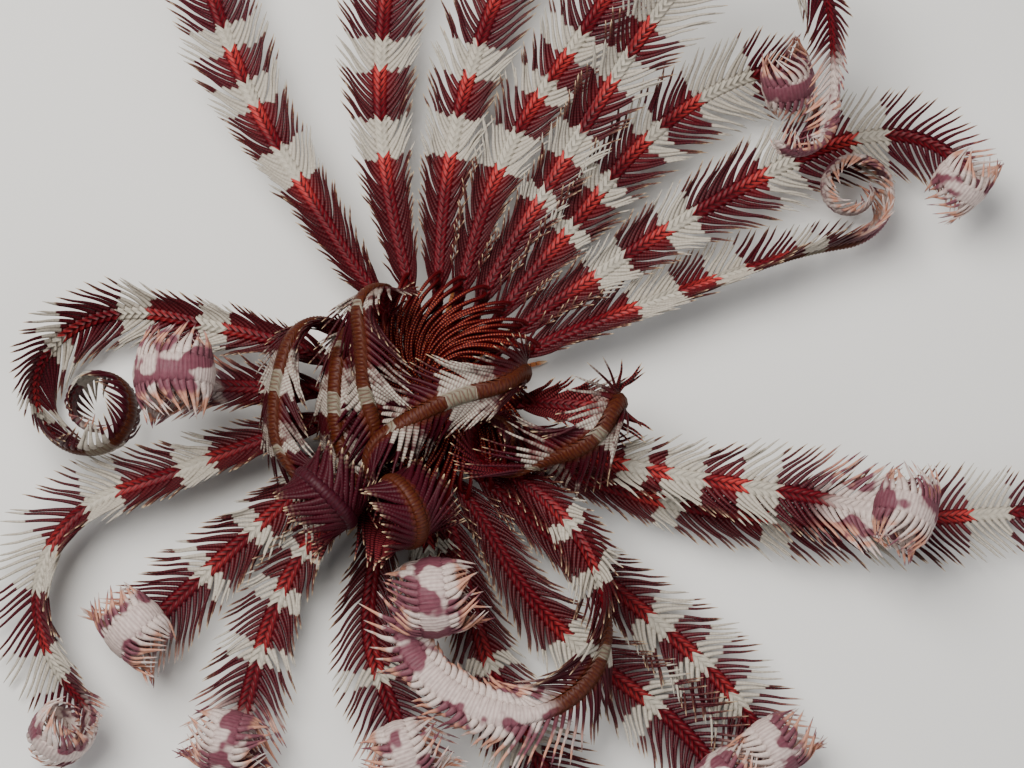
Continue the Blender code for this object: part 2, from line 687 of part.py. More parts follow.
def make_centrodorsal():
    """The button with its column and its cirri, one closed body."""
    profile = (
        (0.0, 0.0),
        (POLE_RADIUS, 0.0),
        (BUTTON_RADIUS, 1.0),
        (BUTTON_RADIUS, BUTTON_HEIGHT),
        (BUTTON_RADIUS - 0.2, COLUMN_TOP),
        (0.0, COLUMN_TOP),
    )
    pieces = [turned("button", profile, BUTTON_STEPS)]
    for number in range(CIRRUS_COUNT):
        pieces.append(make_cirrus(number))
    return union("centrodorsal", pieces)


def make_disc():
    """The tegmen: a dome with a mouth dimple, and the anal tube beside it."""
    angles = np.linspace(0.0, 2 * math.pi, ANAL_TUBE_SIDES, endpoint=False)
    tube_rings = []
    for height, radius in ANAL_TUBE_RINGS:
        ring = np.stack([ANAL_TUBE[0] + radius * np.cos(angles),
                         ANAL_TUBE[1] + radius * np.sin(angles),
                         np.full(ANAL_TUBE_SIDES, height)], 1)
        tube_rings.append(ring)
    return union("disc", [turned("dome", DISC_PROFILE, DISC_STEPS), loft("tube", tube_rings)])


def main():
    """Build the collection with one named object for each part of the body."""
    clear_scene()
    collection = bpy.data.collections.new(COLLECTION_NAME)
    bpy.context.scene.collection.children.link(collection)
    materials = {name: make_material(name) for name in COLOURS}
    routes = [arm_route(index) for index in range(ARM_COUNT)]
    nodes = [(make_centrodorsal(), "cirri_tan"), (make_disc(), "tegmen_maroon")]
    first_arm = 0
    for number, count in enumerate(RAY_ARM_COUNTS):
        nodes.append((make_ray(number, first_arm, routes), "ray_maroon"))
        first_arm += count
    nodes.extend(make_arms(routes))
    for item, material_name in nodes:
        item.data.materials.clear()
        item.data.materials.append(materials[material_name])
        collection.objects.link(item)


main()
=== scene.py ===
"""The looks of a life-size feather star, made as whole surfaces round the packed frame.

Every piece is a set of closed tubes or turned surfaces, worked out as arrays from the
routes of the arms, which are the same as in the solids. Lengths in the tables below are
millimetres, angles are degrees, and the sidebar's lengths are metres.
"""

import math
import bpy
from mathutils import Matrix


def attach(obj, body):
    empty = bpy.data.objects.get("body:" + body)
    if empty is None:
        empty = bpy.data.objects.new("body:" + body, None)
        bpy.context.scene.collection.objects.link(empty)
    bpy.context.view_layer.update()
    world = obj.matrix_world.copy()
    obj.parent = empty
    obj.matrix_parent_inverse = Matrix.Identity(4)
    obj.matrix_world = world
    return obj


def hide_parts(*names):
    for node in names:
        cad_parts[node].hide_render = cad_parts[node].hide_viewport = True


bl_info = {
    "name": "Feather Star",
    "version": (1, 0, 0),
    "blender": (4, 5, 0),
    "location": "View3D > Sidebar > Feather Star",
    "description": "Makes the skin, pinnules, cirri, disc and stage of a feather star",
    "category": "Object",
}

from collections import namedtuple

import bpy
import numpy as np
from bpy.props import FloatProperty, FloatVectorProperty, IntProperty, PointerProperty
from mathutils import Vector

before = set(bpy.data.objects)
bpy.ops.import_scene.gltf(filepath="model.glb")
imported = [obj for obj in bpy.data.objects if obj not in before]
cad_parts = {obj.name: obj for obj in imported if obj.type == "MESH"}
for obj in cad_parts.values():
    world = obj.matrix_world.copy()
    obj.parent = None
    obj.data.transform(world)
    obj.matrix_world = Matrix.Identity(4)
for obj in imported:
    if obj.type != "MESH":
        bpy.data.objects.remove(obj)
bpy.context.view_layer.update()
MM = 0.001

# Routes of the arms, as in the solids
STEP = 0.5
RAY_ARM_COUNTS = (5, 5, 5, 5, 6)
ARM_COUNT = sum(RAY_ARM_COUNTS)
FIRST_AZIMUTH = -40.8
ROOT_RADIUS = 11.0
ROOT_HEIGHT = 7.0
ARM_HALF_WIDTHS = (0.85, 1.15, 1.3, 1.2, 1.0, 0.6)
ARM_HALF_HEIGHTS = (0.85, 0.9, 0.9, 0.8, 0.6, 0.4)
GAP = 0.3

# Each arm has headings and pitches in degrees at even stations along its main length,
# then a coil that rolls towards its mouth side by its turns. Rolls at even stations turn
# the mouth side about the arm. White bands start and end at places in millimetres from
# the root, and past the pale place the arm is cream with mauve patches.
Arm = namedtuple("Arm", "name headings pitches main coil turns rolls bands pale")
ARMS = (
    Arm("right_low", (-26, -18, -8, -2, 4, 4), (3, -9, -3, 0, 0, 0), 88, 20, 0.6, (0, 0),
        ((28, 31), (44, 48), (60, 64), (75, 81)), 92),
    Arm("right", (-30, -16, -10, -8, -18), (25, 6, 0, 0, 0), 60, 34, 1.25, (0, 0),
        ((21, 24.5), (27.5, 33), (39, 44)), 52),
    Arm("right_fold", (1, -10, -8, 72, 15, 16), (46, 30, 0, 173, 210, 212),
        44, 24, 1.0, (3, -1, -7, -14, -22, 47),
        ((19, 20.2), (29.5, 31), (41, 42)), 90),
    Arm("over_disc", (-11, 5, 55, 11, 22, 28), (80, 57, 122, 179, 201, 186),
        38, 24, 1.0, (2, -2, -6, -10, -13, -90),
        ((24, 28.5), (37, 38)), 90),
    Arm("fan_8", (36, 22, 22, 20, 19, 8), (20, 0, -8, -4, 0, 0), 57, 40, 1.25, (0, 80),
        ((23, 30), (36, 41), (50.5, 53.5)), 60),
    Arm("fan_7", (48, 33, 36, 32, 30, 24, 0, -50), (20, 0, -6, -6, -2, 0, 4, 4),
        84, 24, 0.9, (0, -30), ((19.5, 25), (33, 38), (51, 56), (66, 71)), 84),
    Arm("fan_6", (58, 50, 52, 54, 44, 32, 16), (22, 4, -5, -5, -2, 0, 0), 62, 28, 1.1, (0, -40),
        ((20.5, 22.5), (29, 32), (40.5, 43.5), (51, 60)), 68),
    Arm("fan_5", (70, 57, 59, 57, 50, -5, -85, -95), (18, 5, 8, 16, 16, 4, -6, -4),
        106, 14, 0.4, (0, -60), ((22, 24), (30, 34.5), (43.5, 48), (54, 63), (76, 86)), 98),
    Arm("fan_4", (78, 74, 66, 57, 58, 60), (22, 4, -6, -6, -2, 0), 68, 34, 1.25, (0, 0),
        ((24.5, 31), (38, 41), (46.5, 50.5), (60, 64)), 72),
    Arm("fan_3", (88, 86, 80, 74, 68, 66), (20, 4, -6, -6, -4, 0), 70, 34, 1.25, (0, 0),
        ((25, 31.5), (38.5, 44), (54, 58), (67, 70)), 74),
    Arm("fan_2", (108, 102, 96, 88, 85, 84), (20, 4, -6, -6, -4, 0), 70, 34, 1.25, (0, 0),
        ((25.5, 31.5), (40, 45), (55, 59), (67, 70)), 74),
    Arm("fan_1", (136, 122, 123, 114, 108, 106), (20, 4, -6, -6, -4, 0), 74, 30, 1.2, (0, 0),
        ((27, 33), (41, 45.5), (51.5, 55.5), (65, 69)), 76),
    Arm("left_curl_3", (101, 89, 11, 99, 91, 112), (91, 51, 119, 186, 205, 200),
        38, 18, 0.6, (0, 0, 0, 0, 0, 76),
        ((20.5, 21.3), (33, 35.5)), 90),
    Arm("left_curl_2", (129, 166, 259, 265, 275, 299, 299), (76, 77, 21, -9, -14, -11, -8),
        38, 36, 1.0, (12, 30, 45, 51, 47, 39, -70),
        ((13.6, 14.4), (21, 24), (30.5, 33)), 92),
    Arm("left_curl_1", (126, 142, 201, 253, 259, 272, 305, 318), (28, 53, 38, 4, -12, -13, -12, 5),
        42, 36, 1.0, (14, 40, 61, 70, 70, 65, 55, -56),
        ((22, 25.2), (33, 34.2), (45, 47)), 92),
    Arm("left_1", (152, 162, 167, 166, 195, 240, 300), (15, 0, -5, -5, 0, 5, 5),
        62, 42, 1.2, (0, 70), ((21, 25), (33, 37.5), (47, 50), (60, 62), (72, 76), (91, 94)), 100),
    Arm("left_2", (180, 180, 180), (15, 10, 5), 24, 50, 1.6, (0, 0),
        ((12, 13.5),), 20),
    Arm("left_3", (198, 200, 201, 196, 240, 284, 316), (10, 0, -5, -6, -2, 0, 0),
        76, 32, 1.25, (0, -50), ((23, 28), (37.5, 43), (51, 58), (67, 72)), 78),
    Arm("left_4", (228, 222, 221, 224), (5, -8, -8, 0), 43, 34, 1.3, (0, 0),
        ((13, 14.5), (21, 23.5), (31, 33.5)), 44),
    Arm("left_5", (246, 232, 252, 258), (5, -8, -8, 0), 48, 34, 1.25, (0, 0),
        ((19, 20.5), (26, 28.5), (35, 37.5)), 46),
    Arm("front_1", (268, 262, 262, 290, 290), (10, -8, -10, 0, 0), 44, 34, 1.25, (0, 0),
        ((33, 35),), 44),
    Arm("front_2", (290, 285, 275), (15, 0, 0), 20, 46, 1.5, (0, 0),
        ((14, 15.5),), 22),
    Arm("front_3", (302, 284, 286, 300, 300), (10, -8, -12, 0, 0), 55, 32, 1.25, (0, 0),
        ((31, 33), (44, 46.5)), 56),
    Arm("front_4", (312, 298, 316, 326, 305), (8, -8, -10, 0, 0), 62, 32, 1.25, (0, 0),
        ((32, 35.5), (47, 50)), 62),
    Arm("front_5", (322, 320, 322, 318, 300), (5, -10, -8, 0, 0), 62, 32, 1.25, (0, 0),
        ((25, 28), (37, 41), (46, 49), (54, 57)), 62),
    Arm("front_hook", (325, 322, 300, 268, 215, 160, 128), (30, 12, 5, 0, 0, 0, 0),
        74, 18, 0.6, (0, -70), ((19, 21), (27.5, 30.5), (39.5, 41.5)), 52),
)

# The arm that turns over to show its back, and where along it the turn starts and ends
BACK_UP_ARM = "front_hook"
BACK_UP_REACH = (19.0, 54.0)

# Arms that show their backs over the disc. Their pinnules have a bead on each joint, and
# their tips aren't broad
BEADED_ARMS = ("right_fold", "over_disc", "left_curl_3", "left_curl_2", "left_curl_1")

# Section of an arm, ten shares of its half width and half height: two lobes and the
# food groove between them on the mouth side, flanks, and a round back
ARM_SECTION = (
    (1.0, -0.2), (0.9, 0.28), (0.46, 0.6), (0.0, 0.3), (-0.46, 0.6),
    (-0.9, 0.28), (-1.0, -0.2), (-0.7, -0.72), (0.0, -0.97), (0.7, -0.72),
)

# Skin, as shares of the arm's half width or half height: the swell between sutures for
# each share that they lose, the rise of the lobes, the groove's shift from side to side,
# and how far down the flanks the vee reaches
SUTURE_SWELL = 0.3
LOBE_LIFT = 0.16
GROOVE_SHIFT = 0.22
VEE_REACH = 0.7

# Rays, as in the solids
STEM_START = 3.6
STEM_END = 7.0
STEM_HALF_WIDTHS = (1.7, 2.1)
STEM_HEIGHTS = (4.6, 4.9)
STEM_HALF_HEIGHTS = (1.2, 1.0)
STEM_RINGS = 9
STEM_SIDES = 16
STEM_WAIST = 0.05
STEM_ROUNDING = 0.7
BRANCH_START = 5.4
BRANCH_SPREAD = 0.35
BRANCH_BACKSTEP = 3.0

# Pinnules at even stations along an arm, root to tip, the handles of their curve and
# the reach of its curl as shares of the length, and how far their lean, lift and length
# scatter. They bend down above the ceiling and stay clear of the floor by the gap.
PINNULE_LENGTHS = (6.0, 7.5, 9.0, 8.5, 6.0, 2.5)
PINNULE_LEANS = (26, 40, 50, 57, 62, 62)
PINNULE_LIFTS = (48, 38, 28, 20, 14, 10)
PINNULE_THICKNESSES = (0.8, 1.0, 1.0, 1.0, 0.9, 0.6)
PINNULE_FIRST = 4.2
PINNULE_LAST = 0.8
PINNULE_ROOT_LIFT = 14.0
PINNULE_BEND = 0.45
PINNULE_HOOK = 0.45
PINNULE_HANDLES = (0.32, 0.18)
PINNULE_CURL_REACH = (0.72, 1.1)
PINNULE_SCATTER = (5.0, 6.0, 0.1)
PINNULE_FLATNESS = 0.85
PINNULE_CEILING = 28.0
CEILING_SQUASH = 0.6
FLOOR_GAP = 0.12

# Pinnules of the rolled tips are wide at the root, overlap like plates and flare to
# claws, and the arm's back is broader there
FOLD_REACH = (1.0, 9.0)
FOLD_LENGTHS = (6.5, 4.0)
FOLD_LEAN = 74.0
FOLD_START = -10.0
FOLD_ENDS = (112.0, 62.0)
FOLD_OPENING = (-2.0, 6.0)
FOLD_HOOK = 0.15
FOLD_CURL = 0.26
FOLD_SCATTER = 22.0
FOLD_WIDTH = 2.4
FOLD_TAPER = 0.6
FOLD_SWELL = 0.95

# How much the pinnules narrow on the tips of the beaded arms, how much wider they are
# at the root elsewhere, on plain arms and on beaded ones, and how far out they start as
# a share of the arm's half width, plain and folded
COMB_TAPER = 0.15
ROOT_WIDTHS = (0.35, 1.1)
ROOT_PLACES = (0.6, 0.75)

# Markings along the arms: how far a band trails on along the pinnules, how ragged it is
# there, how early it starts on those of beaded arms and how strongly, how far the warm
# red runs before a band, how strong it is on the arms at the front and left and on the
# warmest ones, and how strong on pinnules as a share of the skin's
BAND_TRAIL = 0.4
BAND_RAGGED = 0.45
BAND_LEAD = 4.0
LEAD_SHARE = 0.5
WARMTH = 7.0
WARM_SHARES = (0.25, 0.65)
WARMEST_ARMS = ("fan", "right")
PINNULE_WARMTH = 0.5

# Half the length over which the cream comes in, on skin and pinnules, how strong the
# pinnules' beads are on plain arms, and the shares of an arm where their tone changes
PALE_EDGES = (2.0, 3.0)
PLAIN_BEADS = 0.2
TONE_REACH = (0.2, 0.6)

# The arm whose back darkens, and where along it that starts and ends
PLUM_ARM = "left_curl_1"
PLUM_REACH = (46.0, 50.0)

# Oral pinnules: places of their roots along an arm, their tops and where they end, how
# they swirl and how thick a bead stands out, then how far each of them scatters
ORAL_PLACES = (0.9, 1.8, 2.7, 3.6, 4.5, 5.4, 6.3, 7.2)
ORAL_TOPS = (12.2, 12.6, 13.0, 13.3, 13.5, 13.5, 13.4, 13.2)
ORAL_END_RADII = (1.6, 2.2, 3.0, 3.8, 4.6, 5.6, 6.6, 7.8)
ORAL_END_DROP = 1.8
ORAL_SWIRL = 64.0
ORAL_SPREAD = 2.4
ORAL_LENGTH = 17.0
ORAL_SIDES = 5
ORAL_BEAD = 0.28
ORAL_FALL_POWER = 1.25
ORAL_SWIRL_POWER = 1.3
ORAL_END_SCATTER = 0.5
ORAL_POWER_SCATTER = 0.1
ORAL_SWIRL_SCATTER = 8.0
ORAL_BOW_SCATTER = 0.9
ORAL_TOP_SCATTER = 0.5

# Centrodorsal: the button, its column and its cirri. The waists are shares of the
# thickness at the four rings of each joint, and a cirrus sways by degrees at its end.
BUTTON_PROFILE = (
    (2.4, 0.0), (2.9, 0.25), (3.2, 0.8), (3.3, 1.6), (3.25, 2.6), (3.1, 3.1), (3.1, 6.2),
)
BUTTON_RADIUS = 3.3
BUTTON_STEPS = 72
PIT_DEPTH = 0.02
CIRRUS_COUNT = 18
CIRRUS_REACHES = (24.5, 19.0, 17.0, 15.5, 19.0, 17.0)
CIRRUS_ROOT_DEPTH = 0.9
CIRRUS_SIDES = 10
CIRRUS_WAISTS = (0.86, 0.98, 1.0, 1.04)
CIRRUS_TAPER = 0.3
CIRRUS_FLATNESS = 0.85
CIRRUS_SWAY = 3.0
CIRRUS_STRIPS = 20
CIRRUS_STOPS = ((0.0, 1.7), (0.25, 2.3), (0.5, 2.1), (0.75, 1.2), (0.92, 0.55), (1.0, 0.4))

# Disc: the dome's profile, how finely it is divided, its granules, the heights where its
# top starts, the radius where the grooves fork, the ranges over which those of rays, in
# degrees, and of arms, as shares, come in, and the anal tube
DISC_PROFILE = (
    (6.4, 6.5), (7.2, 6.8), (7.6, 7.4), (7.45, 7.9), (7.0, 8.3), (5.9, 8.75), (4.7, 9.05),
    (3.2, 9.35), (2.0, 9.4), (1.4, 9.2), (0.9, 8.8), (0.5, 8.5),
)
DISC_RINGS = 56
DISC_STEPS = 156
GRANULES_ROUND = 39
GRANULES_OUT = 9.0
DISC_TOP = (8.3, 8.8)
FORK_RADIUS = 4.5
RAY_GROOVE = (3.0, 7.0)
ARM_GROOVE = (0.6, 0.95)
GROOVE_DEPTH = 0.25
ANAL_TUBE = (-3.6, -3.4)
ANAL_TUBE_STOPS = ((8.2, 1.17), (9.2, 1.0), (9.9, 0.9), (11.2, 0.7), (12.0, 0.5))
ANAL_TUBE_RINGS = 12
ANAL_TUBE_STEPS = 16

# Unwrap of the skin: a strip for each arm, and a small patch for each pinnule
STRIP = 1.0 / (ARM_COUNT + 1)
STRIP_FILL = 0.9
STRIP_LENGTH = 130.0
PATCH = 0.003

# Where the lights point, in metres
LIT_PLACE = (0.01, 0.0, 0.0)

# Seeds of the scatter: the first arm's pinnules, the oral pinnules and the cirri
FIRST_SEED = 100
ORAL_SEED = 7
CIRRUS_SEED = 3

# Waves per metre of the noises that place the mauve patches, the ragged edges and the
# claws' colour, and how strong the patches are
PATCH_WAVES = 190.0
RAGGED_WAVES = 900.0
PATCH_SHARE = 0.9
CLAW_WAVES = 420.0


def srgb(red, green, blue):
    """A colour given as it looks on a screen, 0 to 255, as linear values with alpha."""
    parts = [part / 255.0 for part in (red, green, blue)]
    return tuple(part / 12.92 if part <= 0.04045 else ((part + 0.055) / 1.055) ** 2.4
                 for part in parts) + (1.0,)


def colour_property(name, description, red, green, blue):
    """A colour that the sidebar shows."""
    return FloatVectorProperty(name=name, description=description, subtype="COLOR", size=4,
                               min=0.0, max=1.0, default=srgb(red, green, blue))


def length_property(name, description, millimetres):
    """A length that the sidebar shows, given here in millimetres."""
    return FloatProperty(name=name, description=description, unit="LENGTH", precision=5,
                         min=0.0, default=millimetres * MM)


def share_property(name, description, default):
    """A share from 0 to 1 that the sidebar shows."""
    return FloatProperty(name=name, description=description, subtype="FACTOR",
                         min=0.0, max=1.0, default=default)


class SkinSettings(bpy.types.PropertyGroup):
    """Sizes and colours of the arms and rays."""

    joint: length_property("Joint", "Length of one joint of an arm", 0.55)
    suture: share_property("Suture Depth", "Share of the thickness lost at a suture", 0.12)
    wedge: share_property("Wedge", "How far each suture leans, as a share of a joint", 0.3)
    vee: FloatProperty(name="Vee", description="How far the lobes run forward, in joints",
                       default=2.8, min=0.0, max=4.0)
    back: colour_property("Back", "Colour of the back of the arms", 72, 30, 10)
    plum: colour_property("Plum", "Colour of the one back that darkens to its tip", 54, 7, 22)
    flank: colour_property("Flank", "Colour of the sides of the arms", 64, 12, 20)
    lobe: colour_property("Lobe", "Colour of the lobes beside the food groove", 92, 5, 18)
    warm: colour_property("Warm", "Colour of the lobes next to a band", 206, 66, 62)
    groove: colour_property("Groove", "Colour of the grooves and sutures", 56, 3, 9)


class MarkingSettings(bpy.types.PropertyGroup):
    """Colours of the bands and tips, which skin and pinnules share."""

    band: colour_property("Band", "Colour of the white bands", 172, 164, 150)
    shadow: colour_property("Shadow", "Colour that dulls the bands on the backs", 84, 76, 52)
    cream: colour_property("Cream", "Colour of the rolled tips", 196, 178, 170)
    mauve: colour_property("Mauve", "Colour of the patches on the rolled tips", 92, 22, 48)
    band_edge: length_property("Band Edge", "Width over which a band fades", 0.5)


class PinnuleSettings(bpy.types.PropertyGroup):
    """Sizes and colours of the pinnules."""

    radius: length_property("Radius", "Half thickness of a pinnule near its root", 0.32)
    rings: IntProperty(name="Rings", description="Sections along one pinnule", default=13,
                       min=7, max=40)
    sides: IntProperty(name="Sides", description="Points round one section", default=6,
                       min=3, max=8)
    joint: length_property("Joint", "Length of one joint of a pinnule", 0.48)
    hook: share_property("Hook", "How far the tip bends, as a share of the length", 0.16)
    dark: colour_property("Dark", "Colour of the pinnules", 54, 4, 11)
    warm: colour_property("Warm", "Colour of the pinnules next to a band", 150, 34, 40)
    dot: colour_property("Dot", "Colour of the dot on each joint", 142, 54, 56)
    tip: colour_property("Tip", "Colour of the hooked tips", 196, 170, 136)
    foot: colour_property("Foot", "Colour of the roots, seen from the back", 72, 24, 14)
    claw: colour_property("Claw", "Colour of the outer parts on the rolled tips", 190, 136, 114)
    purple: colour_property("Purple", "Colour of the pinnules towards an arm's tip", 56, 2, 16)


class OralPinnuleSettings(bpy.types.PropertyGroup):
    """Sizes and colours of the pinnules that arch over the disc."""

    radius: length_property("Radius", "Half thickness of an oral pinnule", 0.34)
    joint: length_property("Joint", "Length of one joint of an oral pinnule", 0.5)
    dark: colour_property("Dark", "Colour of the oral pinnules", 74, 3, 8)
    dot: colour_property("Dot", "Colour of the bead on each joint", 208, 96, 56)


class CirrusSettings(bpy.types.PropertyGroup):
    """Sizes and colours of the cirri and the button."""

    radius: length_property("Radius", "Half thickness of a cirrus at its root", 0.55)
    joint: length_property("Joint", "Length of one joint of a cirrus", 0.9)
    body: colour_property("Body", "Colour of the cirri", 196, 120, 70)
    joint_line: colour_property("Joint Line", "Colour of the lines between joints", 112, 46, 26)
    claw: colour_property("Claw", "Colour of the claws", 232, 200, 160)


class DiscSettings(bpy.types.PropertyGroup):
    """Colours of the disc."""

    skin: colour_property("Skin", "Colour of the disc", 88, 16, 22)
    granule: colour_property("Granule", "Colour of the granules on the disc", 168, 70, 56)
    groove: colour_property("Groove", "Colour of the grooves on the disc", 30, 4, 8)
    granule_size: length_property("Granule Size", "Height of the granules", 0.09)


class StageSettings(bpy.types.PropertyGroup):
    """The floor, the lights and the camera."""

    floor: colour_property("Floor", "Colour of the floor", 226, 224, 220)
    mottle: colour_property("Mottle", "Colour of the floor's mottle", 150, 148, 144)
    floor_side: length_property("Floor Side", "Length of the floor's sides", 3000.0)
    elevation: FloatProperty(name="Elevation", description="Height angle of the camera",
                             subtype="ANGLE", default=math.radians(78.0))
    distance: length_property("Distance", "From the camera to what it looks at", 420.0)
    aim_right: length_property("Aim Right", "How far right of the disc it looks", 12.6)
    aim_beyond: length_property("Aim Beyond", "How far beyond the disc it looks", 2.5)
    lens: FloatProperty(name="Lens", description="Focal length", subtype="DISTANCE_CAMERA",
                        unit="CAMERA", default=96.0, min=10.0)
    key: FloatProperty(name="Key Light", description="Power of the key light",
                       unit="POWER", default=5.0, min=0.0)
    fill: FloatProperty(name="Fill Light", description="Power of the fill light",
                        unit="POWER", default=1.75, min=0.0)
    sky: colour_property("Sky", "Colour of the light from all round", 220, 224, 230)
    sky_strength: share_property("Sky Strength", "Strength of the light from all round", 0.22)


def unit(vectors):
    """Vectors scaled to length one."""
    return vectors / np.linalg.norm(vectors, axis=-1, keepdims=True)


def polar(radius, azimuth, height):
    """Points at a radius and an azimuth in degrees about the world Z axis."""
    angle = np.radians(azimuth)
    radius, angle, height = np.broadcast_arrays(radius, angle, height)
    return np.stack([radius * np.cos(angle), radius * np.sin(angle), height], -1)


def around(count, first=0.0):
    """Even angles once round from the first one, in radians."""
    return first + np.arange(count) / count * 2 * math.pi


def stations(values, share):
    """Values given at even stations from 0 to 1, read at the given shares."""
    return np.interp(share, np.linspace(0.0, 1.0, len(values)), values)


def smooth_stations(values, count):
    """Station values at count even places, with their corners averaged away."""
    raw = stations(values, np.linspace(0.0, 1.0, count))
    window = max(3, count // (2 * (len(values) - 1)))
    window += 1 - window % 2
    padded = np.pad(raw, window // 2, mode="edge")
    return np.convolve(padded, np.ones(window) / window, mode="valid")


def between(first, second, share):
    """A value mixed from two others."""
    return first + (second - first) * share


def fade(values, low, high):
    """0 up to low, 1 from high, and a smooth rise between them."""
    share = np.clip((values - low) / (high - low), 0.0, 1.0)
    return share * share * (3.0 - 2.0 * share)


def round_end(left, span, least):
    """A share of the thickness that falls along the last span, as on a round end."""
    return np.sqrt(np.clip(left / span, least, 1.0))


def arm_azimuth(index):
    """The azimuth of an arm's root, in degrees."""
    return FIRST_AZIMUTH + 360.0 / ARM_COUNT * index


def arm_route(index):
    """Points, tangents and mouth-side vectors every STEP along one arm.

    The main length follows the headings and pitches, and its mouth side is carried
    along without twist, then turned by the rolls. The tip is a flat coil towards the
    mouth side, whose bend grows evenly.
    """
    arm = ARMS[index]
    count = int(arm.main / STEP) + 1
    heading = np.radians(smooth_stations(arm.headings, count))
    pitch = np.radians(smooth_stations(arm.pitches, count))
    level = np.cos(pitch)
    tangents = np.stack([level * np.cos(heading), level * np.sin(heading), np.sin(pitch)], 1)
    up = np.array([0.0, 0.0, 1.0])
    orals = [unit(up - tangents[0] * (up @ tangents[0]))]
    for tangent in tangents[1:]:
        orals.append(unit(orals[-1] - tangent * (orals[-1] @ tangent)))
    orals = np.array(orals)
    roll = np.radians(stations(arm.rolls, np.linspace(0.0, 1.0, count)))[:, None]
    orals = np.cos(roll) * orals + np.sin(roll) * np.cross(orals, tangents)
    share = np.arange(1, int(arm.coil / STEP) + 1) / int(arm.coil / STEP)
    angle = (math.pi * arm.turns * (share + share * share))[:, None]
    coil_tangents = np.cos(angle) * tangents[-1] + np.sin(angle) * orals[-1]
    coil_orals = np.cos(angle) * orals[-1] - np.sin(angle) * tangents[-1]
    tangents = np.vstack([tangents, coil_tangents])
    orals = np.vstack([orals, coil_orals])
    moves = 0.5 * (tangents[1:] + tangents[:-1]) * STEP
    root = polar(ROOT_RADIUS, arm_azimuth(index), ROOT_HEIGHT)
    points = root + np.vstack([np.zeros(3), np.cumsum(moves, axis=0)])
    return points, tangents, orals


def dressed_route(index):
    """The route of an arm, with its mouth side as the skin and pinnules take it.

    The end of BACK_UP_ARM turns its mouth side down, by a turn about the arm that
    makes up what its rolls leave of half a turn.
    """
    points, tangents, orals = arm_route(index)
    arm = ARMS[index]
    if arm.name == BACK_UP_ARM:
        places = STEP * np.arange(len(points))
        rolled = between(arm.rolls[0], arm.rolls[1], np.clip(places / arm.main, 0.0, 1.0))
        turn = np.radians((-180.0 - rolled) * fade(places, *BACK_UP_REACH))[:, None]
        orals = np.cos(turn) * orals + np.sin(turn) * np.cross(orals, tangents)
    return points, tangents, orals


def route_length(route):
    """The length of an arm's route in millimetres."""
    return (len(route[0]) - 1) * STEP


def resample(route, wanted):
    """A route read at the wanted distances from its root.

    Points lie on the Hermite curves through the known points and tangents. Tangents
    and mouth sides are mixed between their neighbours and squared up again.
    """
    points, tangents, orals = route
    place = np.clip(wanted / STEP, 0.0, len(points) - 1.001)
    index = place.astype(int)
    t = (place - index)[:, None]
    rise = 3 * t ** 2 - 2 * t ** 3
    found = (1 - rise) * points[index] + rise * points[index + 1]
    found = found + STEP * ((t ** 3 - 2 * t ** 2 + t) * tangents[index]
                            + (t ** 3 - t ** 2) * tangents[index + 1])
    along = unit((1 - t) * tangents[index] + t * tangents[index + 1])
    oral = (1 - t) * orals[index] + t * orals[index + 1]
    oral = unit(oral - along * np.sum(oral * along, -1, keepdims=True))
    return found, along, oral


def band_mask(places, bands, edge):
    """1 inside the bands and 0 outside them, with edges that fade."""
    mask = np.zeros_like(places)
    for start, end in bands:
        rise = fade(places, start - edge / 2, start + edge / 2)
        mask = np.maximum(mask, rise * (1.0 - fade(places, end - edge / 2, end + edge / 2)))
    return mask


def carried(sections, points, alongs, ups):
    """Section points (side, up, forward) carried to frames along paths.

    Each point is the path's point plus its side share across, its up share along the
    up vector and its forward share along the path.
    """
    across = np.cross(alongs, ups)
    return (points[..., None, :] + sections[..., 0:1] * across[..., None, :]
            + sections[..., 1:2] * ups[..., None, :] + sections[..., 2:3] * alongs[..., None, :])


def flat_sections(side, rise):
    """Sections square to their path, from their side and up shares."""
    side, rise = np.broadcast_arrays(side, rise)
    return np.stack([side, rise, np.zeros_like(side)], -1)


def turned(radius, angles, height, centre=(0.0, 0.0)):
    """A grid turned about an upright axis, from radii and heights at rings and angles."""
    radius, height = np.broadcast_arrays(radius, height)
    return np.stack([centre[0] + radius * np.cos(angles),
                     centre[1] + radius * np.sin(angles), height], -1)[None]


def path_frames(paths, ups):
    """Directions along paths of shape (tubes, rings, 3), and ups made square to them."""
    alongs = unit(np.gradient(paths, axis=-2))
    ups = np.broadcast_to(ups, paths.shape)
    ups = unit(ups - alongs * np.sum(ups * alongs, -1, keepdims=True))
    return alongs, ups


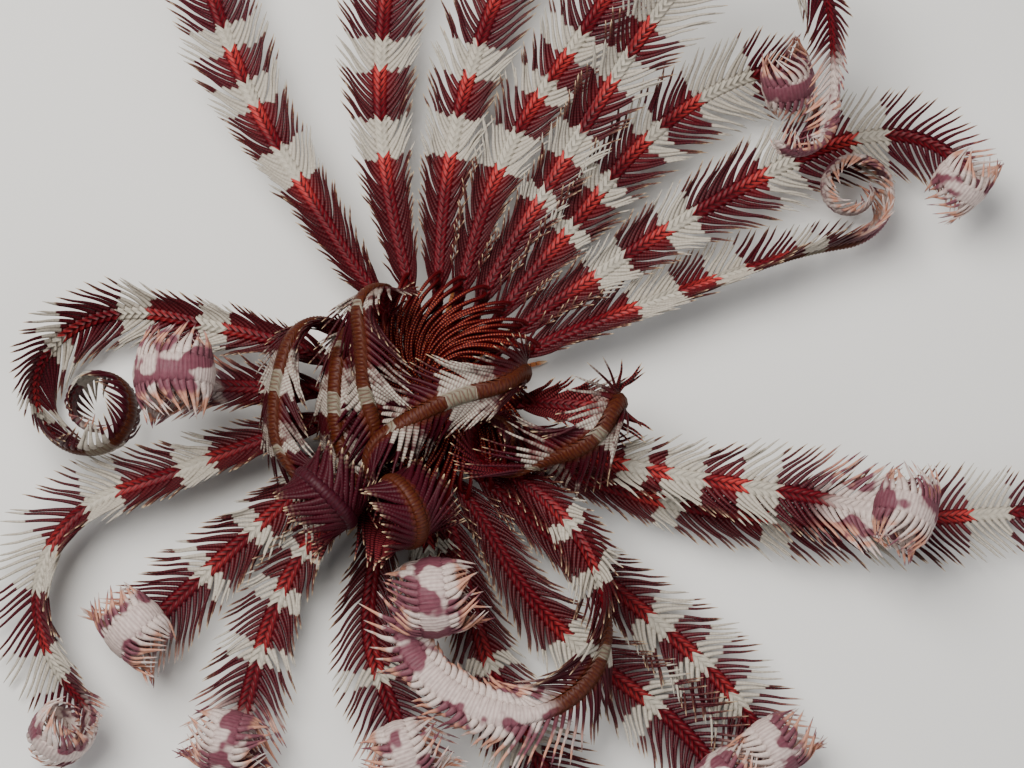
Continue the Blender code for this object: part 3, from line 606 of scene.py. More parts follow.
class Surface:
    """Closed tubes gathered as arrays, and put into one mesh at the end."""

    def __init__(self, names):
        self.names = names
        self.points = []
        self.quads = []
        self.triangles = []
        self.quad_places = []
        self.triangle_places = []
        self.values = {name: [] for name in names}
        self.count = 0

    def add(self, grids, values, across, along):
        """Add tubes from grids of shape (tubes, rings, sides, 3), closed round and at both ends.

        A tube runs ring by ring, its sides run from its across vector to its up vector,
        and a middle point closes each end. Values have the grids' shape without the
        last axis. Across and along place each tube on the map: (start, width) of shape
        (tubes,) and, for each ring, shape (tubes, rings).
        """
        tubes, rings, sides = grids.shape[:3]
        ends = grids[:, (0, -1)].mean(2)
        size = rings * sides + 2
        self.points.append(np.concatenate([grids.reshape(tubes, -1, 3), ends], 1).reshape(-1, 3))
        for name in self.names:
            grid = np.broadcast_to(values[name], grids.shape[:3])
            end = grid[:, (0, -1)].mean(2)
            joined = np.concatenate([grid.reshape(tubes, -1), end], 1)
            self.values[name].append(joined.reshape(-1))
        first = self.count + size * np.arange(tubes)[:, None, None]
        ring = np.arange(rings - 1)[:, None] * sides
        side = np.arange(sides)[None, :]
        beside = (side + 1) % sides
        corners = (ring + side, ring + sides + side, ring + sides + beside, ring + beside)
        quads = np.stack(corners, -1)
        self.quads.append((first[..., None] + quads).reshape(-1, 4))
        start, finish = rings * sides, rings * sides + 1
        last = (rings - 1) * sides
        side, beside = side[0], beside[0]
        caps = np.concatenate([
            np.stack([np.full(sides, start), side, beside], -1),
            np.stack([np.full(sides, finish), last + beside, last + side], -1)])
        self.triangles.append((first + caps).reshape(-1, 3))
        self.map_tubes(tubes, rings, sides, across, along)
        self.count += tubes * size

    def map_tubes(self, tubes, rings, sides, across, along):
        """Places on the map of the corners of the faces just added."""
        start, width = (np.broadcast_to(part, (tubes,)) for part in across)
        along = np.broadcast_to(along, (tubes, rings))
        left = start[:, None] + width[:, None] * np.arange(sides) / sides
        right = left + width[:, None] / sides
        shape = (tubes, rings - 1, sides)
        low = np.broadcast_to(along[:, :-1, None], shape)
        high = np.broadcast_to(along[:, 1:, None], shape)
        left = np.broadcast_to(left[:, None], shape)
        right = np.broadcast_to(right[:, None], shape)
        corners = ((left, low), (left, high), (right, high), (right, low))
        self.quad_places.append(np.stack([np.stack(c, -1) for c in corners], -2).reshape(-1, 2))
        middle = 0.5 * (left[:, 0] + right[:, 0])
        first = np.broadcast_to(along[:, :1], (tubes, sides))
        last = np.broadcast_to(along[:, -1:], (tubes, sides))
        sliver = 0.2 * PATCH
        caps = [((middle, first - sliver), (left[:, 0], first), (right[:, 0], first)),
                ((middle, last + sliver), (right[:, 0], last), (left[:, 0], last))]
        faces = [np.stack([np.stack(corner, -1) for corner in cap], -2) for cap in caps]
        self.triangle_places.append(np.concatenate(faces, 1).reshape(-1, 2))

    def finish(self, name, material):
        """The mesh object, with its values as attributes and its map as OFBake."""
        points = np.concatenate(self.points) * MM
        quads = np.concatenate(self.quads)
        triangles = np.concatenate(self.triangles)
        mesh = bpy.data.meshes.new(name)
        mesh.vertices.add(len(points))
        mesh.vertices.foreach_set("co", points.astype(np.float32).ravel())
        corners = np.concatenate([quads.ravel(), triangles.ravel()])
        mesh.loops.add(len(corners))
        mesh.loops.foreach_set("vertex_index", corners.astype(np.int32))
        starts = np.concatenate([np.arange(len(quads)) * 4,
                                 quads.size + np.arange(len(triangles)) * 3])
        mesh.polygons.add(len(starts))
        mesh.polygons.foreach_set("loop_start", starts.astype(np.int32))
        mesh.update(calc_edges=True)
        mesh.shade_smooth()
        places = np.concatenate(self.quad_places + self.triangle_places)
        layer = mesh.uv_layers.new(name="OFBake")
        layer.data.foreach_set("uv", places.astype(np.float32).ravel())
        for key, parts in self.values.items():
            attribute = mesh.attributes.new(key, "FLOAT", "POINT")
            attribute.data.foreach_set("value", np.concatenate(parts).astype(np.float32))
        mesh.validate()
        mesh.materials.append(material)
        item = bpy.data.objects.new(name, mesh)
        bpy.context.scene.collection.objects.link(item)
        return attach(item, "root")


def join(tree, item, inputs):
    """Link a node's inputs to sockets, or set them to values."""
    for key, value in inputs.items():
        if isinstance(value, bpy.types.NodeSocket):
            tree.links.new(value, item.inputs[key])
        else:
            item.inputs[key].default_value = value


def node(tree, kind, inputs=(), **settings):
    """A new node with its settings, and with its inputs linked to sockets or set to values."""
    made = tree.nodes.new(kind)
    for name, value in settings.items():
        setattr(made, name, value)
    join(tree, made, dict(inputs))
    return made


def mixed(tree, factor, first, second, mode="MIX"):
    """A colour mixed from two others."""
    made = node(tree, "ShaderNodeMix", data_type="RGBA", blend_type=mode, clamp_factor=True)
    join(tree, made, {0: factor, 6: first, 7: second})
    return made.outputs[2]


def sums(tree, operation, first, second=0.0):
    """A number worked out from two others."""
    return node(tree, "ShaderNodeMath", {0: first, 1: second}, operation=operation).outputs[0]


def product(tree, first, *others):
    """The product of two or more numbers."""
    for other in others:
        first = sums(tree, "MULTIPLY", first, other)
    return first


def inverse(tree, value):
    """One less a number."""
    return sums(tree, "SUBTRACT", 1.0, value)


def scaled(tree, value, factor, offset):
    """A number times a factor plus an offset."""
    made = node(tree, "ShaderNodeMath", {0: value, 1: factor, 2: offset},
                operation="MULTIPLY_ADD")
    return made.outputs[0]


def ramp(tree, value, low, high):
    """0 where the value is up to low, 1 from high, smooth between."""
    made = node(tree, "ShaderNodeMapRange", {"Value": value, "From Min": low, "From Max": high},
                interpolation_type="SMOOTHSTEP")
    return made.outputs["Result"]


def attribute(tree, name):
    """A number that the mesh carries at each point."""
    return node(tree, "ShaderNodeAttribute", attribute_name=name).outputs["Fac"]


def noise(tree, scale, detail=3.0):
    """A noise over Object coordinates, with a scale in waves per metre."""
    place = node(tree, "ShaderNodeTexCoord").outputs["Object"]
    made = node(tree, "ShaderNodeTexNoise", {"Vector": place, "Scale": scale, "Detail": detail})
    return made.outputs["Fac"]


def new_group(name, inputs, outputs):
    """A shader node group with named sockets, and its input and output nodes."""
    group = bpy.data.node_groups.new(name, "ShaderNodeTree")
    for label, kind in inputs:
        group.interface.new_socket(label, in_out="INPUT", socket_type=kind)
    for label, kind in outputs:
        group.interface.new_socket(label, in_out="OUTPUT", socket_type=kind)
    return group, group.nodes.new("NodeGroupInput"), group.nodes.new("NodeGroupOutput")


def markings_group():
    """The markings that skin and pinnules share, as a group that puts out a colour.

    It lays the band colour over the base by the white mask, with ragged edges and darker
    joint lines, then the cream of the rolled tips by the pale mask, with mauve patches.
    """
    name = "Star Markings"
    if name in bpy.data.node_groups:
        return bpy.data.node_groups[name]
    colours = ("Base", "Band", "Cream", "Mauve")
    numbers = ("White", "Pale", "Joint", "Shade")
    group, given, made = new_group(
        name, [(label, "NodeSocketColor") for label in colours]
        + [(label, "NodeSocketFloat") for label in numbers], [("Color", "NodeSocketColor")])
    take = given.outputs
    line = product(group, inverse(group, take["Joint"]), 0.5)
    band = mixed(group, line, take["Band"], take["Mauve"])
    patch = ramp(group, noise(group, PATCH_WAVES, 2.0), 0.47, 0.53)
    cream = mixed(group, product(group, line, 0.7), take["Cream"], take["Mauve"])
    pale = mixed(group, product(group, patch, take["Shade"]), cream, take["Mauve"])
    ragged = scaled(group, noise(group, RAGGED_WAVES), 0.5, -0.25)
    white = ramp(group, sums(group, "ADD", take["White"], ragged), 0.35, 0.65)
    colour = mixed(group, white, take["Base"], band)
    colour = mixed(group, take["Pale"], colour, pale)
    group.links.new(colour, made.inputs["Color"])
    return group


def grain_group():
    """Fine skin grain, as a group that puts out a mottle and a roughness.

    The mottle is a noise of about half a millimetre, and the roughness follows it.
    """
    name = "Star Grain"
    if name in bpy.data.node_groups:
        return bpy.data.node_groups[name]
    group, given, made = new_group(
        name, [("Scale", "NodeSocketFloat"), ("Low", "NodeSocketFloat"),
               ("High", "NodeSocketFloat")],
        [("Mottle", "NodeSocketFloat"), ("Roughness", "NodeSocketFloat")])
    mottle = noise(group, given.outputs["Scale"])
    span = sums(group, "SUBTRACT", given.outputs["High"], given.outputs["Low"])
    rough = sums(group, "ADD", given.outputs["Low"], product(group, span, mottle))
    group.links.new(mottle, made.inputs["Mottle"])
    group.links.new(rough, made.inputs["Roughness"])
    return group


def new_material(name):
    """A material with its tree and its shader."""
    material = bpy.data.materials.new(name)
    material.use_nodes = True
    tree = material.node_tree
    return material, tree, tree.nodes["Principled BSDF"]


def finish_shader(tree, shader, colour, height, depth, scale, roughness, wet=0.02):
    """Colour, grain, bump and a thin wet coat on the shader.

    The bump's depth is in millimetres, and the grain's scale in waves per metre.
    """
    grain = node(tree, "ShaderNodeGroup", node_tree=grain_group())
    join(tree, grain, {"Scale": scale, "Low": roughness - 0.1, "High": roughness + 0.1})
    mottle = grain.outputs["Mottle"]
    shade = scaled(tree, mottle, 0.7, 0.65)
    tone = node(tree, "ShaderNodeCombineColor", {"Red": shade, "Green": shade, "Blue": shade})
    bump = node(tree, "ShaderNodeBump", {"Height": sums(tree, "ADD", height, mottle),
                                         "Distance": depth * MM, "Strength": 0.6})
    join(tree, shader, {
        "Base Color": mixed(tree, 1.0, colour, tone.outputs[0], "MULTIPLY"),
        "Roughness": grain.outputs["Roughness"],
        "Normal": bump.outputs["Normal"],
        "Specular IOR Level": 0.18,
        "Coat Weight": wet,
        "Coat Roughness": 0.25,
    })


def marked(tree, base, marks, joint):
    """The shared markings laid over a base colour, with lines where the joint mask is 0."""
    group = node(tree, "ShaderNodeGroup", node_tree=markings_group())
    join(tree, group, {
        "Base": base, "Band": marks.band, "Cream": marks.cream, "Mauve": marks.mauve,
        "White": attribute(tree, "white"), "Pale": attribute(tree, "pale"), "Joint": joint,
        "Shade": PATCH_SHARE,
    })
    return group.outputs["Color"]


def skin_material(skin, marks):
    """Red lobes beside a dark groove, a tan or plum back, dark sutures and the bands.

    The lobes turn a warm red before a band. On the back the bands are dulled, and the
    sutures show through them.
    """
    material, tree, shader = new_material("star_skin")
    facing = attribute(tree, "facing")
    joint = attribute(tree, "joint")
    back = mixed(tree, attribute(tree, "plum"), skin.back, skin.plum)
    side = mixed(tree, ramp(tree, facing, 0.05, -0.3), skin.flank, back)
    lobe = mixed(tree, attribute(tree, "warm"), skin.lobe, skin.warm)
    front = mixed(tree, ramp(tree, facing, 0.2, 0.55), side, lobe)
    grooved = mixed(tree, ramp(tree, attribute(tree, "groove"), 0.45, 0.95), front, skin.groove)
    suture = inverse(tree, ramp(tree, joint, 0.0, 0.55))
    base = mixed(tree, product(tree, suture, 0.75), grooved, skin.groove)
    colour = marked(tree, base, marks, joint)
    dulled = mixed(tree, suture, marks.shadow, skin.back)
    behind = product(tree, ramp(tree, facing, 0.0, -0.5), attribute(tree, "white"), 0.75)
    colour = mixed(tree, behind, colour, dulled)
    finish_shader(tree, shader, colour, joint, 0.08, 1500.0, 0.5)
    return material


def pinnule_material(pinnules, marks):
    """Dark red rods with tan roots behind, pale tips, the bands, and the claws' colour.

    A sine of the distance along the pinnule gives the joints. Where it is beaded, the
    sine's crests are paler dots on the upper side, and its troughs are darker lines.
    """
    material, tree, shader = new_material("star_pinnule")
    along = attribute(tree, "along")
    facing = attribute(tree, "facing")
    beaded = attribute(tree, "beaded")
    turns = product(tree, attribute(tree, "reach"), 2.0 * math.pi * MM / pinnules.joint)
    wave = sums(tree, "SINE", turns)
    dots = product(tree, ramp(tree, wave, 0.0, 0.9), ramp(tree, facing, 0.2, 0.8), beaded)
    joint = inverse(tree, product(tree, inverse(tree, ramp(tree, wave, -0.7, 0.7)), beaded))
    rod = mixed(tree, attribute(tree, "tone"), pinnules.dark, pinnules.purple)
    rod = mixed(tree, attribute(tree, "warm"), rod, pinnules.warm)
    base = mixed(tree, product(tree, dots, 0.8), rod, pinnules.dot)
    foot = product(tree, ramp(tree, along, 0.2, 0.1), ramp(tree, facing, 0.2, -0.3),
                   inverse(tree, attribute(tree, "plum")))
    base = mixed(tree, foot, base, pinnules.foot)
    gilt = product(tree, joint, ramp(tree, along, 0.75, 0.95), 0.12)
    base = mixed(tree, gilt, base, pinnules.tip)
    base = mixed(tree, ramp(tree, along, 0.92, 0.99), base, pinnules.tip)
    colour = marked(tree, base, marks, joint)
    outer = product(tree, ramp(tree, along, 0.3, 0.6), ramp(tree, along, 0.97, 0.88),
                    ramp(tree, noise(tree, CLAW_WAVES, 1.0), 0.58, 0.46),
                    attribute(tree, "pale"))
    colour = mixed(tree, outer, colour, pinnules.claw)
    finish_shader(tree, shader, colour, joint, 0.05, 2200.0, 0.5)
    return material


def oral_pinnule_material(orals):
    """Deep red rods with an orange bead on each joint."""
    material, tree, shader = new_material("star_oral_pinnule")
    joint = attribute(tree, "joint")
    dots = product(tree, ramp(tree, joint, 0.6, 1.0),
                   ramp(tree, attribute(tree, "facing"), 0.55, 0.98),
                   ramp(tree, attribute(tree, "along"), 0.2, 0.55))
    base = mixed(tree, dots, orals.dark, orals.dot)
    finish_shader(tree, shader, base, joint, 0.06, 1800.0, 0.45)
    return material


def cirrus_material(cirri):
    """Tan joints with dark lines between them, and pale claws."""
    material, tree, shader = new_material("star_cirrus")
    joint = attribute(tree, "joint")
    line = inverse(tree, ramp(tree, joint, 0.1, 0.6))
    base = mixed(tree, line, cirri.body, cirri.joint_line)
    base = mixed(tree, ramp(tree, attribute(tree, "along"), 0.9, 0.98), base, cirri.claw)
    finish_shader(tree, shader, base, joint, 0.08, 1200.0, 0.45)
    return material


def disc_material(disc):
    """Dark red skin with paler granules and dark grooves."""
    material, tree, shader = new_material("star_disc")
    grain = attribute(tree, "granule")
    base = mixed(tree, ramp(tree, grain, 0.3, 0.9), disc.skin, disc.granule)
    base = mixed(tree, attribute(tree, "groove"), base, disc.groove)
    finish_shader(tree, shader, base, grain, 0.08, 1400.0, 0.4, wet=0.3)
    return material


def branch_frames(index, axis_azimuth, route, spacing):
    """Points, directions and ups of a ray's branch, from the stem to the arm's root.

    The path is the quadratic curve whose middle handle stands before the root.
    """
    points, tangents, orals = route
    spread = arm_azimuth(index) - axis_azimuth
    start = polar(BRANCH_START, axis_azimuth + BRANCH_SPREAD * spread, STEM_HEIGHTS[1])
    bend = points[0] - tangents[0] * BRANCH_BACKSTEP
    finish = points[0] - tangents[0] * GAP
    span = np.linalg.norm(bend - start) + np.linalg.norm(finish - bend)
    rings = 2 * int(span / (2 * spacing)) + 2
    t = np.linspace(0.0, 1.0, rings)[:, None]
    path = (1 - t) ** 2 * start + 2 * t * (1 - t) * bend + t * t * finish
    along = unit((1 - t) * (bend - start) + t * (finish - bend))
    up = (1 - t) * np.array([0.0, 0.0, 1.0]) + t * orals[0]
    up = unit(up - along * np.sum(up * along, -1, keepdims=True))
    return path, along, up


def broadness(arm, places):
    """0 along an arm, rising to 1 where its tip rolls or turns pale, whichever is first."""
    return fade(places - min(arm.main, arm.pale), *FOLD_REACH)


def half_widths(arm, places, length):
    """Half widths of the skin. The backs of the rolled tips are broader."""
    swell = FOLD_SWELL * broadness(arm, places) * (arm.name not in BEADED_ARMS)
    return stations(ARM_HALF_WIDTHS, np.clip(places / length, 0.0, 1.0)) * (1.0 + swell)


def arm_grid(skin, index, axis_azimuth, route):
    """The skin of one arm with its branch, and the values that its material reads.

    Rings stand on each suture and between sutures. The ones on a suture are thinner
    and lean left and right in turn, so that the joints are wedges. On the mouth side
    lobes rise left and right in turn with a groove between them, and run forward
    towards the sides by the vee, which fades where the arm gets broad.
    """
    spacing = skin.joint / MM / 2
    length = route_length(route)
    places = np.arange(0.0, length, spacing)
    path, along, up = resample(route, places)
    lead = branch_frames(index, axis_azimuth, route, spacing)
    path, along, up = (np.concatenate(pair) for pair in zip(lead, (path, along, up)))
    before = len(lead[0])
    places = np.concatenate([np.linspace(-before * spacing, -spacing, before), places])
    share = np.clip(places / length, 0.0, 1.0)
    closing = round_end(length - places, 0.8, 0.1)
    width = half_widths(ARMS[index], places, length) * closing
    forward = (1.0 - broadness(ARMS[index], places))[:, None]
    height = stations(ARM_HALF_HEIGHTS, share) * closing
    number = np.arange(len(places))
    on_suture = number % 2 == 0
    turn = np.where((number // 2) % 2, 1.0, -1.0)
    swell = np.where(on_suture, 1.0 - skin.suture, 1.0 + SUTURE_SWELL * skin.suture)[:, None]
    side, rise = np.array(ARM_SECTION).T
    mouth = rise > 0.0
    lobe = rise > 0.5
    bulge = np.where(on_suture, 0.0, 1.0)[:, None] * turn[:, None]
    crest = bulge * np.sign(side)
    lift = np.where(lobe, crest * LOBE_LIFT, 0.0)
    shift = np.where((side == 0.0) & mouth, -GROOVE_SHIFT * bulge, 0.0)
    lean = np.where(on_suture, turn, 0.0)[:, None] * side * skin.wedge
    vee = np.abs(side) * np.clip(rise + VEE_REACH, 0.0, 1.0) * skin.vee * forward
    stretch = (2 * spacing * stations(ARM_HALF_WIDTHS, share))[:, None]
    sections = np.stack([(side + shift) * width[:, None] * swell,
                         (rise + lift) * height[:, None] * swell,
                         (lean + vee) * stretch], -1)
    grid = carried(sections, path, along, up)
    values = {
        "facing": np.broadcast_to(rise / np.hypot(side, rise), grid.shape[:2]),
        "groove": np.where(side == 0.0, 1.0, np.clip(-crest, 0.0, 1.0)) * mouth,
        "joint": np.where(on_suture[:, None] & ~mouth, 0.0, 1.0),
    }
    return grid, places, values


def warmth(places, arm):
    """The arm's share where a band starts, falling to 0 at WARMTH before it."""
    before = np.full_like(places, WARMTH)
    for start, end in arm.bands:
        ahead = np.where(places <= end, np.maximum(start - places, 0.0), WARMTH)
        before = np.minimum(before, ahead)
    return WARM_SHARES[arm.name.startswith(WARMEST_ARMS)] * (1.0 - fade(before, 0.0, WARMTH))


def plumness(arm, places):
    """0, rising to 1 along the reach where the plum arm's back darkens."""
    return fade(places, *PLUM_REACH) * (arm.name == PLUM_ARM)


def marks_at(places, arm, edge):
    """The white, pale, warm and plum masks of an arm at the given places."""
    return {"white": band_mask(places, arm.bands, edge),
            "pale": fade(places, arm.pale - PALE_EDGES[0], arm.pale + PALE_EDGES[0]),
            "warm": warmth(places, arm),
            "plum": plumness(arm, places)}


def stem_grid(axis_azimuth):
    """The stem of one ray: a rounded box section carried outward from the column."""
    shares = np.linspace(0.0, 1.0, STEM_RINGS)
    angles = around(STEM_SIDES)
    shape = (STEM_RINGS, STEM_SIDES)
    on_suture = np.arange(STEM_RINGS) % 2 == 0
    radius = np.interp(shares, (0, 1), (STEM_START, STEM_END))
    path = polar(radius, axis_azimuth, np.interp(shares, (0, 1), STEM_HEIGHTS))
    along, up = path_frames(path[None], np.array([0.0, 0.0, 1.0]))
    swell = 1.0 - STEM_WAIST * on_suture
    width = np.interp(shares, (0, 1), STEM_HALF_WIDTHS) * swell
    height = np.interp(shares, (0, 1), STEM_HALF_HEIGHTS) * swell
    side, rise = (np.sign(wave) * np.abs(wave) ** STEM_ROUNDING
                  for wave in (np.cos(angles), np.sin(angles)))
    sections = flat_sections(side * width[:, None], rise * height[:, None])
    values = {name: np.zeros(shape) for name in ("groove", "white", "pale", "warm", "plum")}
    values["facing"] = np.broadcast_to(rise, shape) * 0.5
    values["joint"] = np.where(on_suture, 0.0, 1.0)[:, None] * np.ones(STEM_SIDES)
    return carried(sections[None], path[None], along, up), values


def ray_of_arm(index):
    """The azimuth of the axis of the ray that an arm belongs to, and the ray's number."""
    first = 0
    for number, count in enumerate(RAY_ARM_COUNTS):
        if index < first + count:
            return arm_azimuth(first + (count - 1) / 2), number
        first += count
    raise ValueError("there are only %d arms" % ARM_COUNT)


def make_skin(scene):
    """One skin over the rays and the arms."""
    skin, marks = scene.star_skin, scene.star_marks
    surface = Surface(("facing", "groove", "joint", "white", "pale", "warm", "plum"))
    for index, arm in enumerate(ARMS):
        axis_azimuth, _ = ray_of_arm(index)
        grid, places, values = arm_grid(skin, index, axis_azimuth, dressed_route(index))
        for name, mask in marks_at(places, arm, marks.band_edge / MM).items():
            values[name] = mask[:, None] * np.ones(len(ARM_SECTION))
        values = {name: value[None] for name, value in values.items()}
        along = (0.02 + (places - places[0]) / STRIP_LENGTH)[None]
        surface.add(grid[None], values, (index * STRIP, STRIP * STRIP_FILL), along)
    for number in range(len(RAY_ARM_COUNTS)):
        axis_azimuth, _ = ray_of_arm(sum(RAY_ARM_COUNTS[:number]))
        grid, values = stem_grid(axis_azimuth)
        along = np.linspace(0.05, 0.1, grid.shape[1])[None] + 0.1 * number
        values = {name: value[None] for name, value in values.items()}
        surface.add(grid, values, (ARM_COUNT * STRIP, STRIP * STRIP_FILL), along)
    item = surface.finish("skin", skin_material(skin, marks))
    flesh = [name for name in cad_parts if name.startswith(("arm_", "ray_"))]
    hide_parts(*flesh)


def pinnule_places(route, joint):
    """Places of the pinnules along an arm, one to a joint, and the side that each is on."""
    last = (route_length(route) - PINNULE_LAST) / joint
    numbers = np.arange(math.ceil(PINNULE_FIRST / joint), last)
    return (numbers + 0.5) * joint, np.where(numbers % 2, 1.0, -1.0)


def pinnule_grids(pinnules, joint, index, route, draws):
    """The pinnules of one arm, as tubes, and the values that their material reads.

    Each leaves the arm's side low, leaning to the arm's tip, then bends up past its
    lift and hooks at the end. Its path is the cubic curve through handles on those
    directions, and its thickness falls evenly. Where the arm is broad they fold round
    the rolled tip instead: low at the back, then out to the mouth side, and wide.
    """
    places, sides = pinnule_places(route, joint)
    points, tangents, orals = resample(route, places)
    total = route_length(route)
    share = places / total
    count = len(places)
    lateral = np.cross(tangents, orals) * sides[:, None]
    spread = draws.uniform(-1.0, 1.0, (4, count))
    arm = ARMS[index]
    broad = broadness(arm, places)
    fold = broad * (arm.name not in BEADED_ARMS)
    rolled = stations(FOLD_LENGTHS, np.clip((places - arm.main) / arm.coil, 0.0, 1.0))
    lean = between(stations(PINNULE_LEANS, share), FOLD_LEAN, fold)
    lean = lean + PINNULE_SCATTER[0] * spread[0]
    lift = stations(PINNULE_LIFTS, share) + PINNULE_SCATTER[1] * spread[1]
    length = between(stations(PINNULE_LENGTHS, share), rolled, fold)
    length = length * (1.0 + PINNULE_SCATTER[2] * spread[2])
    low = between(np.minimum(lift, PINNULE_ROOT_LIFT), FOLD_START, fold)
    folded = between(*FOLD_ENDS, fade(places - arm.main, *FOLD_OPENING))
    folded = folded + FOLD_SCATTER * spread[1]
    high = between(lift + np.maximum(0.0, lift - PINNULE_ROOT_LIFT), folded, fold)
    lean, low, high = (np.radians(angle)[:, None] for angle in (lean, low, high))
    length, fold = length[:, None], fold[:, None]
    start, onward = (
        np.cos(lean) * tangents + np.sin(lean) * (np.cos(rise) * lateral + np.sin(rise) * orals)
        for rise in (low, high))
    hooked = unit(onward + between(PINNULE_HOOK, FOLD_HOOK, fold) * tangents)
    half_width = half_widths(arm, places, total)[:, None]
    root = points + lateral * between(*ROOT_PLACES, fold) * half_width
    bend = root + start * PINNULE_BEND * length
    tip = bend + hooked * (1.0 - PINNULE_BEND) * length
    t = np.linspace(0.0, 1.0, pinnules.rings)[:, None]
    near, far = PINNULE_HANDLES
    handles = [part[:, None] for part in (root, root + start * near * length,
                                          bend + hooked * far * length, tip)]
    path = ((1 - t) ** 3 * handles[0] + 3 * t * (1 - t) ** 2 * handles[1]
            + 3 * t ** 2 * (1 - t) * handles[2] + t ** 3 * handles[3])
    outward = 0.3 * tangents + 0.8 * lateral + 0.3 * orals
    curl = outward * between(pinnules.hook, FOLD_CURL, fold) * length
    path = path + curl[:, None] * fade(t, *PINNULE_CURL_REACH)
    trailed = places[:, None] + np.sum((path - root[:, None]) * tangents[:, None], -1)
    thick = pinnules.radius / MM * stations(PINNULE_THICKNESSES, share)[:, None]
    thick = thick * (1.0 - 0.5 * t[:, 0]) * round_end(1.0 - t[:, 0], 0.12, 0.04)
    path[..., 2] -= CEILING_SQUASH * np.maximum(path[..., 2] - PINNULE_CEILING, 0.0)
    least = thick + FLOOR_GAP
    path[..., 2] = np.where(path[..., 2] < 2 * least, least + path[..., 2] ** 2 / (4 * least),
                            path[..., 2])
    alongs, ups = path_frames(path, (orals - fold * lateral)[:, None])
    angles = around(pinnules.sides, math.pi / 2)
    beaded = arm.name in BEADED_ARMS
    broad = broad[:, None]
    taper = (COMB_TAPER if beaded else FOLD_TAPER) * broad * t[:, 0]
    rooted = ROOT_WIDTHS[int(beaded)] * (1.0 - t[:, 0]) ** 2 * (1.0 - broad)
    wide = thick * between(1.0, FOLD_WIDTH, broad) * (1.0 - taper) * (1.0 + rooted)
    sections = flat_sections(np.cos(angles) * wide[..., None],
                             PINNULE_FLATNESS * np.sin(angles) * thick[..., None])
    shape = (count, pinnules.rings, pinnules.sides)
    values = {
        "along": np.broadcast_to(t[None], shape),
        "reach": np.broadcast_to((t[:, 0] * length)[..., None], shape),
        "facing": np.broadcast_to(np.sin(angles), shape),
    }
    return carried(sections, path, alongs, ups), places, sides, trailed, values


def pinnule_masks(arm, share, places, trailed, edge, draws):
    """The markings of one arm's pinnules, by how far along the arm each ring has come.

    Bands have ragged edges, and on beaded arms a fainter lead before them. The warm red
    fades from a pinnule's root to its middle, and the tone deepens along the arm.
    """
    bands = [(first, last + BAND_TRAIL) for first, last in arm.bands]
    ragged = trailed + BAND_RAGGED * draws.uniform(-1.0, 1.0, (len(places), 1))
    white = band_mask(ragged, bands, edge)
    beaded = arm.name in BEADED_ARMS
    if beaded:
        leads = [(first - BAND_LEAD, last) for first, last in arm.bands]
        white = np.maximum(white, LEAD_SHARE * band_mask(trailed, leads, BAND_LEAD))
    fading = np.clip(1.0 - 2.0 * np.linspace(0.0, 1.0, trailed.shape[1]), 0.0, 1.0)
    return {
        "white": white[..., None],
        "pale": fade(trailed, arm.pale - PALE_EDGES[1], arm.pale + PALE_EDGES[1])[..., None],
        "warm": (PINNULE_WARMTH * warmth(trailed, arm) * fading)[..., None],
        "plum": plumness(arm, places)[:, None, None],
        "beaded": 1.0 if beaded else PLAIN_BEADS,
        "tone": fade(share, *TONE_REACH)[:, None, None],
    }


def make_pinnules(scene):
    """The pinnules of all arms, in one piece for each ray."""
    pinnules, marks = scene.star_pinnules, scene.star_marks
    material = pinnule_material(pinnules, marks)
    names = ("along", "reach", "facing", "white", "pale", "warm", "tone", "beaded", "plum")
    surfaces = [Surface(names) for _ in RAY_ARM_COUNTS]
    steps = np.linspace(0.0, PATCH, pinnules.rings)
    for index, arm in enumerate(ARMS):
        draws = np.random.default_rng(FIRST_SEED + index)
        route = dressed_route(index)
        grids, places, sides, trailed, values = pinnule_grids(
            pinnules, scene.star_skin.joint / MM, index, route, draws)
        share = places / route_length(route)
        values.update(pinnule_masks(arm, share, places, trailed, marks.band_edge / MM, draws))
        start = (index + 0.45 + 0.25 * sides) * STRIP
        along = 0.02 + (places / STRIP_LENGTH)[:, None] + steps
        surfaces[ray_of_arm(index)[1]].add(grids, values, (start, PATCH), along)
    for number, surface in enumerate(surfaces):
        item = surface.finish("pinnules_ray_%d" % (number + 1), material)


